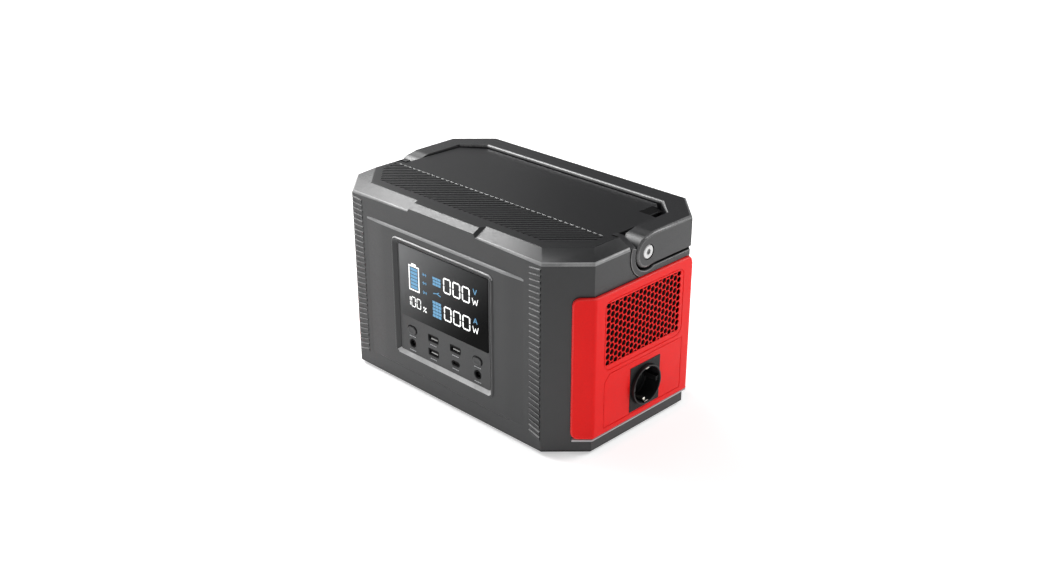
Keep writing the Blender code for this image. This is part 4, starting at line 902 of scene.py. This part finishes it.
# ------------------------------------------------------------------ red side panels
def side_panel(s):
    def off(o):
        d = math.sqrt(0.5) * o
        return [(HALF_W - 14.0 + d, -(HALF_D - CHAMFER) - 14.0 - d), (HALF_W + o, -(HALF_D - CHAMFER) - 0.414 * o)]

    inner, outer = off(GAP), off(PANEL_X - HALF_W)
    strip = inner + [(x, -y) for x, y in reversed(inner)] + [(x, -y) for x, y in outer] + list(reversed(outer))
    bm = clean(outline_bm([[(s * x, y) for x, y in strip]], PANEL_Z[0], PANEL_Z[1]))
    ends = [e for e in bm.edges if abs(e.verts[0].co.z - e.verts[1].co.z) < 1e-3
            and all(abs(abs(v.co.y) - 83) < 2.8 for v in e.verts)]
    bmesh.ops.bevel(bm, geom=ends, offset=7.5, segments=6, profile=0.5, affect="EDGES")
    face_x = PANEL_X - 0.01

    def outer_edge(e):
        fa, fb = e.link_faces

        def skin(f):
            c = f.calc_center_median()
            n = f.normal
            return n.x * s > 0.6 and abs(n.z) < 0.05 and (c.x * s + abs(c.y) * 0.42) > 0

        return (skin(fa) != skin(fb))

    bm = soften(bm, 1.7, 4, 60.0, outer_edge, dissolve=False)
    bm = soften(bm, 2.2, 3, 30.0, lambda e: abs(e.verts[0].co.z - e.verts[1].co.z) > 80 and all(v.co.x * s > HALF_W + 2 for v in e.verts),
                60.0, dissolve=False)
    drop = [(64.6, PANEL_Z[1] + 3), (64.6, PANEL_Z[1] + 0.2), (66.5, PANEL_Z[1] - 2.2), (68.7, PANEL_Z[1] - 6.5), (83.0, PANEL_Z[1] - 19.0), (90.0, PANEL_Z[1] - 23.0),
            (90.0, PANEL_Z[1] + 3)]
    a, b = sorted((s * 140, s * 175))
    bm = boolean(bm, outline_bm([drop], a, b, "YZ"))
    # fine round holes of the vent, the end ones of every other column cut by the edge of the field
    cuts = []
    for c in range(19):
        y = -51.6 + c * 5.57 if s > 0 else 51.6 - c * 5.57
        for r in range(10 + c % 2):
            z = 149.6 - r * 6.43 + (3.215 if c % 2 else 0)
            cuts.append([(a, min(151.9, max(89.4, b))) for a, b in ngon(y, z, 2.95, 14)])
    a, b = sorted((s * 150, s * (PANEL_X - 0.9)))
    bm = boolean(bm, box_bm((a, -55.8, 84.2), (b, 55.8, 153.8)))
    a, b = sorted((s * 160, s * 175))
    bm = boolean(bm, outline_bm(cuts, a, b, "YZ"))
    # thin moulded lines round the vent and the lower field
    a, b = sorted((s * (PANEL_X - 0.6), s * 175))
    bm = boolean(bm, outline_bm([rrect(-56.4, 83.6, 56.4, 154.4, 8.4), rrect(-55.4, 84.6, 55.4, 153.4, 7.4)], a, b, "YZ"))
    lower = [(-55.7, 24), (57.9, 24), (57.9, 80), (-48.0, 80), (-55.7, 72)]
    lower_in = [(-54.9, 24.8), (57.1, 24.8), (57.1, 79.2), (-47.7, 79.2), (-54.9, 71.7)]
    bm = boolean(bm, outline_bm([[(y * s, z) for y, z in lower], [(y * s, z) for y, z in lower_in]], a, b, "YZ"))
    if s > 0:
        w, h = PLATE[0] + 0.25, PLATE[1] + 0.25
        bm = boolean(bm, box_bm((160, SOCKET_Y - w, SOCKET_Z - h), (175, SOCKET_Y + w, SOCKET_Z + h)))
    return bm


for s, tag in ((1, "right"), (-1, "left")):
    put(f"red_panel_{tag}", side_panel(s), RED, replaces=[f"side_panel_{tag}"], sharp=30)
    a, b = sorted((s * (HALF_W + 0.35), s * (HALF_W + 1.1)))
    # painted shade: a near-black foam sheet behind the vent holes, standing for the shaded inside
    put(f"vent_shade_sheet_{tag}", box_bm((a, -55.3, 84.7), (b, 55.3, 153.3), 0.2, 1), VENT_SHADE)
    # painted highlight: a light grey strip on the lit edge of the seat the panel drops into
    d = math.sqrt(0.5)

    def seat(o):
        return [(HALF_W - 13.0 + d * o, -(HALF_D - CHAMFER) - 13.0 - d * o), (HALF_W + o, -(HALF_D - CHAMFER) - 0.414 * o)]

    rows = []
    for o, z in ((-0.3, PANEL_Z[0] - 0.2), (3.0, PANEL_Z[0] - 0.3), (3.3, PANEL_Z[0] - 0.7), (3.3, PANEL_Z[0] - 1.3), (2.7, PANEL_Z[0] - 2.0), (-0.3, PANEL_Z[0] - 4.4)):
        half = seat(o)
        rows.append([(s * x, y, z) for x, y in half + [(x, -y) for x, y in reversed(half)]])
    bm = bmesh.new()
    grid = [[bm.verts.new(q) for q in row] for row in rows]
    for r0, r1 in zip(grid, grid[1:] + grid[:1]):
        for i in range(3):
            bm.faces.new((r0[i], r0[i + 1], r1[i + 1], r1[i]))
    for i in (0, 3):
        bm.faces.new([r[i] for r in grid])
    put(f"panel_seat_{tag}", bm, SEAT_HIGHLIGHT, sharp=50)


# ------------------------------------------------------------------ mains socket
def socket():
    w, h = PLATE
    bm = outline_bm([rrect(SOCKET_Y - w, SOCKET_Z - h, SOCKET_Y + w, SOCKET_Z + h, 0.8, 3)], *PLATE_X, "YZ")
    bm = soften(bm, 0.45, 2, 60.0, lambda e: all(v.co.x > PLATE_X[1] - 0.01 for v in e.verts))
    bm = boolean(bm, turned_bm(rod(20.7, 150, 180), "X", (0, SOCKET_Y, SOCKET_Z), 48))
    put("socket_face", bm, BLACK, replaces=["socket_plate"], sharp=30)
    m, f = MOUTH_X, MOUTH_X - 17.5
    prof = [(0, f), (18.3, f), (18.7, f + 0.4), (18.7, m - 0.5), (18.95, m - 0.12), (19.3, m), (19.75, m), (20.1, m - 0.15), (20.3, m - 0.6),
            (20.3, f - 3), (17.0, f - 3), (17.0, 128.0), (0, 128.0)]
    bm = turned_bm(prof, "X", (0, SOCKET_Y, SOCKET_Z), 64)
    for d in (-1, 1):
        bm = boolean(bm, turned_bm(rod(2.6, 136, 160), "X", (0, SOCKET_Y + d * 9.5, SOCKET_Z), 20))
        bm = boolean(bm, turned_bm([(0, f + 1), (3.9, f + 1), (2.6, f - 0.7), (0, f - 0.7)], "X", (0, SOCKET_Y + d * 9.5, SOCKET_Z), 20))
    # side keys of the recess
    keys = [box_bm((f + 0.01, SOCKET_Y + d * 16.9 - 1.9, SOCKET_Z - 2.4), (m - 2.2, SOCKET_Y + d * 16.9 + 1.9, SOCKET_Z + 2.4), 0.5, 2) for d in (-1, 1)]
    put("socket_cup", merge(bm, *keys), BLACK, replaces=["socket_insert"], sharp=30)
    for d, tag in ((1, "upper"), (-1, "lower")):
        za, zb = sorted((SOCKET_Z + d * 17.0, SOCKET_Z + d * 18.2))
        blade = box_bm((f + 0.3, SOCKET_Y - 2.4, za), (m - 1.0, SOCKET_Y + 2.4, zb), 0.25, 2)
        za, zb = sorted((SOCKET_Z + d * 15.6, SOCKET_Z + d * 17.6))
        nib = box_bm((f + 8.5, SOCKET_Y - 1.9, za), (f + 13.5, SOCKET_Y + 1.9, zb), 0.8, 3)
        put(f"socket_clip_{tag}", merge(blade, nib), CLIP, replaces=[f"earth_clip_{tag}"])


socket()


# ------------------------------------------------------------------ control front
def bezel():
    """Picture-frame moulding: rounded crown, sloped inner flank down to the panel."""
    z0, z1 = BEZEL_Z
    # (inset from the outer outline, corner radius, y)
    rings = [(0.0, 7.0, -(HALF_D + 0.1)), (0.12, 6.9, BEZEL_Y + 1.8), (1.25, 6.0, BEZEL_Y + 0.22), (1.7, 5.6, BEZEL_Y), (2.9, 4.9, BEZEL_Y), (3.3, 4.7, BEZEL_Y + 0.15),
             (5.2, 3.7, BEZEL_Y + 0.15 + 0.56 * (FLOOR_Y - BEZEL_Y - 0.25)), (6.7, 2.9, FLOOR_Y - 0.1), (6.8, 2.8, -96.5)]
    back = [(3.1, 4.7, -96.5), (3.1, 4.7, -(HALF_D + 0.1))]
    bm = bmesh.new()
    loops = []
    for inset, r, y in rings + back:
        loops.append([bm.verts.new((x, y, z)) for x, z in rrect(-BEZEL_X + inset, z0 + inset, BEZEL_X - inset, z1 - inset, r, 8)])
    n = len(loops[0])
    for a, b in zip(loops, loops[1:] + loops[:1]):
        for i in range(n):
            bm.faces.new((a[i], a[(i + 1) % n], b[(i + 1) % n], b[i]))
    bmesh.ops.recalc_face_normals(bm, faces=bm.faces)
    return bm


# its upturned crown and inner slope get the painted highlight
put("display_bezel", bezel(), BEZEL, replaces=["front_bezel"], sharp=22, wear_highlight_above=999, painted_highlight_up=1.0)

PORTS = {}
for n in ("usb_a_port_1", "usb_a_port_2", "usb_a_port_3", "usb_c_port", "dc_jack_left", "dc_jack_right", "ac_button", "dc_button"):
    lo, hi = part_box(n)
    PORTS[n] = ((lo.x + hi.x) * 500 - CX, (lo.z + hi.z) * 500)


def control_panel():
    bm = outline_bm([rrect(-FLOOR_X, FLOOR_Z[0], FLOOR_X, FLOOR_Z[1], 2.7, 6)], FLOOR_Y, FLOOR_Y + 3.0, "XZ")
    bm = boolean(bm, outline_bm([rrect(-LENS_X - GAP, LENS_Z[0] - GAP, LENS_X + GAP, LENS_Z[1] + GAP, 1.5, 4)], FLOOR_Y - 2, FLOOR_Y + 1.0, "XZ"))
    holes = []
    for n, (x, z) in PORTS.items():
        if n.startswith("usb_a"):
            holes.append(rrect(x - 6.8, z - 3.1, x + 6.8, z + 3.1, 0.6, 3))
        elif n == "usb_c_port":
            holes.append(stadium(x, z, 9.8, 4.1))
        elif n.startswith("dc_jack"):
            holes.append(ngon(x, z, 4.8, 28))
        else:
            holes.append(stadium(x, z, 12.7, 8.7))
    bm = boolean(bm, outline_bm(holes, FLOOR_Y - 5, FLOOR_Y + 8, "XZ"))
    # shallow dished surrounds
    dish = []
    for n, (x, z) in PORTS.items():
        if n.startswith("usb_a"):
            dish.append(rrect(x - 7.7, z - 4.0, x + 7.7, z + 4.0, 1.3, 3))
        elif n == "usb_c_port":
            dish.append(stadium(x, z, 12.2, 6.4))
        elif n.startswith("dc_jack"):
            dish.append(ngon(x, z, 5.0, 28))
    bm = boolean(bm, outline_bm(dish, FLOOR_Y - 5, FLOOR_Y + 0.45, "XZ"))
    return bm


put("port_panel", control_panel(), PANEL, replaces=["control_panel"], sharp=30, wear_highlight_above=999)


def button(name):
    x, z = PORTS[name]
    y = FLOOR_Y - 1.0
    bm = bmesh.new()
    loops = []
    for inset, dy in ((0.0, 4.8), (0.0, 0.55), (0.12, 0.3), (0.45, 0.08), (1.0, 0.0), (2.2, 0.10), (3.2, 0.22)):
        loops.append([bm.verts.new((a, y + dy, b)) for a, b in stadium(x, z, 12.0 - 2 * inset, 8.0 - 2 * inset, 8)])
    n = len(loops[0])
    for a, b in zip(loops, loops[1:]):
        for i in range(n):
            bm.faces.new((a[i], a[(i + 1) % n], b[(i + 1) % n], b[i]))
    bm.faces.new(loops[-1])
    bm.faces.new(list(reversed(loops[0])))
    flange = outline_bm([stadium(x, z, 14.4, 10.4, 8)], FLOOR_Y + 3.3, FLOOR_Y + 4.4, "XZ")
    return merge(bm, flange)


for n in ("ac_button", "dc_button"):
    put(n.replace("button", "key"), button(n), PANEL, n, replaces=[n], sharp=30, wear_highlight_above=999)
    x, z = PORTS[n]
    # painted shade: a near-black ring round the key, widest at its top
    put(n.replace("button", "rim"), outline_bm([stadium(x, z + 0.42, 13.9, 9.7), stadium(x, z, 12.75, 8.75)], FLOOR_Y - 0.06, FLOOR_Y + 0.3, "XZ"), BLACK_AND_SHADE)
for n, (x, z) in PORTS.items():
    if n.startswith("usb_a"):
        # painted shade: a near-black ring inside the dish round the port, widest at its top
        put(n.replace("port", "rim"), outline_bm([rrect(x - 7.5, z - 3.5, x + 7.3, z + 4.0, 0.9, 3), rrect(x - 6.75, z - 3.05, x + 6.75, z + 3.05, 0.6, 3)], FLOOR_Y + 0.3, FLOOR_Y + 0.75, "XZ"),
            BLACK_AND_SHADE)
        put(n.replace("port", "tongue"), box_bm((x - 4.4, FLOOR_Y + 1.0, z - 1.25), (x + 4.9, FLOOR_Y + 6.0, z - 0.25), 0.2, 2), TONGUE)
    elif n == "usb_c_port":
        # painted shade: a near-black ring inside the dish round the port, widest at its top
        put("usb_c_rim", outline_bm([stadium(x, z + 0.2, 11.4, 5.6), stadium(x, z, 9.75, 4.05)], FLOOR_Y + 0.3, FLOOR_Y + 0.75, "XZ"), BLACK_AND_SHADE)
        put("usb_c_tongue", box_bm((x - 3.2, FLOOR_Y + 1.2, z - 0.35), (x + 3.2, FLOOR_Y + 5.0, z + 0.35), 0.12, 2), BLACK_AND_SHADE)


def lens():
    bm = outline_bm([rrect(-LENS_X, LENS_Z[0], LENS_X, LENS_Z[1], 1.2, 4)], LENS_Y, LENS_Y + 1.2, "XZ")
    return soften(bm, 0.25, 2, 60.0, lambda e: all(v.co.y < LENS_Y + 0.01 for v in e.verts))


put("screen_lens", lens(), SCREEN, replaces=["display_lens"], sharp=30)


def jack(name):
    x, z = PORTS[name]
    y0, y1 = FLOOR_Y + 0.08, -89.2
    prof = [(0, y1), (4.4, y1), (4.4, y0 + 0.3), (4.2, y0), (3.5, y0), (3.2, y0 + 0.4), (3.2, y1 - 2), (1.0, y1 - 2), (1.0, y0 + 2), (0.6, y0 + 1.5), (0, y0 + 1.4)]
    return turned_bm(prof, "Y", (x, 0, z), 32)


for n in ("dc_jack_left", "dc_jack_right"):
    put(n.replace("jack", "inlet"), jack(n), BLACK_AND_SHADE, replaces=[n], sharp=30)


# display contents: flat segments just proud of the glass
def quads(polys, y):
    bm = bmesh.new()
    for p in polys:
        front = [bm.verts.new((a, y, b)) for a, b in p]
        back = [bm.verts.new((a, y + 0.12, b)) for a, b in p]
        bm.faces.new(front)
        bm.faces.new(list(reversed(back)))
        for i in range(len(p)):
            j = (i + 1) % len(p)
            bm.faces.new((front[i], front[j], back[j], back[i]))
    bmesh.ops.recalc_face_normals(bm, faces=bm.faces)
    return bm


def stroke(a, b, w):
    d = Vector((b[0] - a[0], b[1] - a[1])).normalized() * w / 2
    n = Vector((-d.y, d.x))
    return [(a[0] + n.x, a[1] + n.y), (b[0] + n.x, b[1] + n.y), (b[0] - n.x, b[1] - n.y), (a[0] - n.x, a[1] - n.y)]


SEGS = {"0": "abcdef", "1": "bc"}


def digit(ch, x0, z0, w, h, t):
    """Seven-segment figure with chamfered segments."""
    x1, z1, zm = x0 + w, z0 + h, z0 + h / 2
    g, c = 0.28, t / 2
    out = []

    def hor(z, inward):
        a, b = x0 + c + g, x1 - c - g
        return [(a, z), (a + c * 0.8, z + c), (b - c * 0.8, z + c), (b, z), (b - c * 0.8, z - c), (a + c * 0.8, z - c)]

    def ver(x, za, zb):
        a, b = za + g, zb - g
        return [(x, a), (x + c, a + c * 0.8), (x + c, b - c * 0.8), (x, b), (x - c, b - c * 0.8), (x - c, a + c * 0.8)]

    shapes = {"a": hor(z1 - c, 0), "g": hor(zm, 0), "d": hor(z0 + c, 0), "f": ver(x0 + c, zm, z1 - c), "b": ver(x1 - c, zm, z1 - c),
              "e": ver(x0 + c, z0 + c, zm), "c": ver(x1 - c, z0 + c, zm)}
    return [shapes[k] for k in SEGS[ch]]


DZ = 2.0
white, blue = [], []
for z0, h in ((122.7 + DZ, 16.2), (93.4 + DZ, 15.4)):
    for i in range(3):
        white += digit("0", 1.6 + i * 13.1, z0, 10.8, h, 1.5)
    # watt sign
    x, z, w, hh = 42.0, z0 + 1.2, 7.6, 6.6
    pts = [(x, z + hh), (x + w * 0.24, z), (x + w * 0.5, z + hh * 0.72), (x + w * 0.76, z), (x + w, z + hh)]
    white += [stroke(a, b, 0.8) for a, b in zip(pts, pts[1:])]
# volt and ampere signs
x, z = 43.4, 134.6 + DZ
blue += [stroke((x, z + 5.6), (x + 2.3, z), 1.0), stroke((x + 2.3, z), (x + 4.6, z + 5.6), 1.0)]
x, z = 43.4, 104.6 + DZ
blue += [stroke((x, z), (x + 2.4, z + 5.6), 1.0), stroke((x + 2.4, z + 5.6), (x + 4.8, z), 1.0), stroke((x + 1.0, z + 1.8), (x + 3.8, z + 1.8), 0.8)]
# battery
bx0, bx1, bz0, bz1 = -48.8, -33.4, 110.4 + DZ, 137.4 + DZ
t = 1.35
white += [[(bx0, bz0), (bx1, bz0), (bx1, bz0 + t), (bx0, bz0 + t)], [(bx0, bz1 - t), (bx1, bz1 - t), (bx1, bz1), (bx0, bz1)],
          [(bx0, bz0 + t), (bx0 + t, bz0 + t), (bx0 + t, bz1 - t), (bx0, bz1 - t)],
          [(bx1 - t, bz0 + t), (bx1, bz0 + t), (bx1, bz1 - t), (bx1 - t, bz1 - t)],
          [(bx0 + 4.3, bz1), (bx1 - 4.3, bz1), (bx1 - 4.3, bz1 + 2.2), (bx0 + 4.3, bz1 + 2.2)]]
for i in range(6):
    a = bz0 + 2.5 + i * 3.8
    blue.append([(bx0 + 2.6, a), (bx1 - 2.6, a), (bx1 - 2.6, a + 3.0), (bx0 + 2.6, a + 3.0)])
# charge in per cent
for ch, x in (("1", -54.0), ("0", -46.3), ("0", -38.4)):
    white += digit(ch, x, 92.6 + DZ, 6.4, 11.0, 0.9)
x, z = -28.6, 92.2 + DZ
white += [stroke((x, z), (x + 4.4, z + 5.4), 0.9), [(x, z + 3.7), (x + 1.7, z + 3.7), (x + 1.7, z + 5.4), (x, z + 5.4)],
          [(x + 2.7, z), (x + 4.4, z), (x + 4.4, z + 1.7), (x + 2.7, z + 1.7)]]
# status fields and small pictograms
for x0, x1, za, zb, rows in ((-13.6, -2.0, 125.8, 135.2, 3), (-14.6, -2.1, 91.7, 109.4, 5)):
    step = (zb - za) / rows
    for i in range(rows):
        a = za + DZ + i * step
        third = (x1 - x0) / 3
        for c in range(3):
            b0 = x0 + c * third + (0.35 if i % 2 else 0.0)
            blue.append([(b0, a + 0.25), (b0 + third - 0.4, a + 0.25), (b0 + third - 0.4, a + step - 0.4), (b0, a + step - 0.4)])
blue += [stroke((-13.2, 117.0 + DZ), (-8.0, 118.2 + DZ), 0.9), stroke((-8.0, 118.2 + DZ), (-2.6, 116.6 + DZ), 0.9), stroke((-8.0, 118.2 + DZ), (-4.8, 119.9 + DZ), 0.8)]
for z in (132.6, 123.6, 113.6):
    blue += [stroke((-27.8, z + DZ - 1.6), (-25.6, z + DZ), 0.6), stroke((-25.6, z + DZ), (-27.8, z + DZ + 1.6), 0.6), stroke((-28.6, z + DZ), (-22.8, z + DZ), 0.6),
             stroke((-23.6, z + DZ - 1.5), (-23.6, z + DZ + 1.5), 0.6)]
put("display_figures", quads(white, LENS_Y - 0.1), WHITE_ON, weighted=False)
put("display_fields", quads(blue, LENS_Y - 0.1), BLUE_ON, weighted=False)

# neutral tick marks beside the ports
marks = []
for n, (x, z) in PORTS.items():
    for dx, w in ((-4.6, 2.0), (-2.1, 1.5), (-0.1, 2.3), (2.7, 1.7)):
        zz = z - (7.4 if "usb_a" in n else 6.4 if "usb_c" in n else 8.2 if "jack" in n else 7.0)
        marks.append([(x + dx, zz), (x + dx + w, zz), (x + dx + w, zz + 0.7), (x + dx, zz + 0.7)])
put("port_marks", quads(marks, FLOOR_Y - 0.08), PRINT, weighted=False)
# ------------------------------------------------------------------ CAD parts that stay, with their finish
FINISH = {"bottom_cover": BASE, "base_screw": STEEL, "foot": RUBBER, "handle_washer": NYLON, "fan_frame": FAN, "fan_rotor": FAN,
          "usb_a_port": BLACK_AND_SHADE, "usb_c_port": BLACK_AND_SHADE, "lcd_module": BLACK, "control_board": BOARD, "ac_switch": BLACK, "dc_switch": BLACK,
          "battery_cell": CELL, "battery_strap": ALU, "bms_board": BOARD, "inverter_board": BOARD, "heat_sink": ALU, "transformer": COIL,
          "battery_lead_positive": LEAD_RED, "battery_lead_negative": LEAD_BLACK}
for name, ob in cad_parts.items():
    if ob.hide_render:
        for i in range(len(ob.material_slots)):
            ob.material_slots[i].material = BLACK
        continue
    key = max((k for k in FINISH if name.startswith(k)), key=len)
    if not ob.material_slots:
        ob.data.materials.append(FINISH[key])
    for sl in ob.material_slots:
        sl.material = FINISH[key]

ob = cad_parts["bottom_cover"]
weld = ob.modifiers.new("Weld", "WELD")
weld.merge_threshold = 0.00001
bev = ob.modifiers.new("Edge", "BEVEL")
bev.width = 0.0004
bev.segments = 2
bev.limit_method = "ANGLE"
bev.angle_limit = math.radians(35)

# ------------------------------------------------------------------ stage, light, camera
bm = bmesh.new()
n, half = 24, 9.0
for i in range(n + 1):
    for j in range(n + 1):
        bm.verts.new((-half + 2 * half * i / n, -half + 2 * half * j / n, 0.0))
bm.verts.ensure_lookup_table()
for i in range(n):
    for j in range(n):
        a = i * (n + 1) + j
        bm.faces.new((bm.verts[a], bm.verts[a + n + 1], bm.verts[a + n + 2], bm.verts[a + 1]))
me = bpy.data.meshes.new("floor")
bm.to_mesh(me)
bm.free()
floor = bpy.data.objects.new("floor", me)
scene.collection.objects.link(floor)
fm, fnt, fb = new_mat("pale_floor")
fb.inputs["Base Color"].default_value = (0.84, 0.84, 0.84, 1)
fb.inputs["Roughness"].default_value = 0.9
fb.inputs["Specular IOR Level"].default_value = 0.0
fb.inputs["Emission Color"].default_value = (1, 1, 1, 1)
fb.inputs["Emission Strength"].default_value = 0.45
me.materials.append(fm)
floor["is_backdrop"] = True

world = bpy.data.worlds.new("studio")
world.use_nodes = True
wt = world.node_tree
bg = wt.nodes["Background"]
tc = wt.nodes.new("ShaderNodeTexCoord")
sep = wt.nodes.new("ShaderNodeSeparateXYZ")
wt.links.new(tc.outputs["Generated"], sep.inputs[0])
bg.inputs["Color"].default_value = (1, 1, 1, 1)
wt.links.new(span(wt, sep.outputs["Y"], 0.50, 0.12, -0.6, 0.45), bg.inputs["Strength"])
scene.world = world


def area(name, at, size, power, aim=(0, 0, 0.1), size_y=None, colour=(1, 1, 1)):
    li = bpy.data.lights.new(name, "AREA")
    li.shape = "RECTANGLE"
    li.size = size
    li.size_y = size_y or size
    li.energy = power
    li.color = colour
    ob = bpy.data.objects.new(name, li)
    ob.location = at
    ob.rotation_mode = "QUATERNION"
    ob.rotation_quaternion = (Vector(aim) - Vector(at)).to_track_quat("-Z", "Y")
    scene.collection.objects.link(ob)
    return ob


area("left_box", (-1.60, -0.04, 1.155), 2.15, 34, (0, 0, 0.12), 1.95)
area("left_strip", (-1.35, -0.05, 1.66), 1.0, 34, (0.05, 0, 0.15), 0.85)
area("deck_card", (-1.41, 0.95, 0.72), 0.8, 0.35, (0, 0, 0.15))
area("right_box", (0.95, 1.22, 1.12), 0.8, 22, (0, 0, 0.12), 1.15)

cam = bpy.data.cameras.new("camera")
cam.lens = 44.6
cam.sensor_width = 36.0
cam.clip_start = 0.05
cam.clip_end = 60
camera = bpy.data.objects.new("camera", cam)
right = Vector((0.713, 0.701, 0.0)).normalized()
back = Vector((0.638, -0.648, 0.4155)).normalized()
up = back.cross(right).normalized()
right = up.cross(back).normalized()
roll = Matrix.Rotation(0.0, 3, back)
rot = Matrix((right, up, back)).transposed()
camera.matrix_world = Matrix.Translation((0.85116 + CX / 1000, -0.85206 + CY / 1000, 0.64814 + 0.002)) @ rot.to_4x4()
scene.collection.objects.link(camera)
scene.camera = camera
scene.view_settings.view_transform = "Standard"

lo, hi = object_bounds()
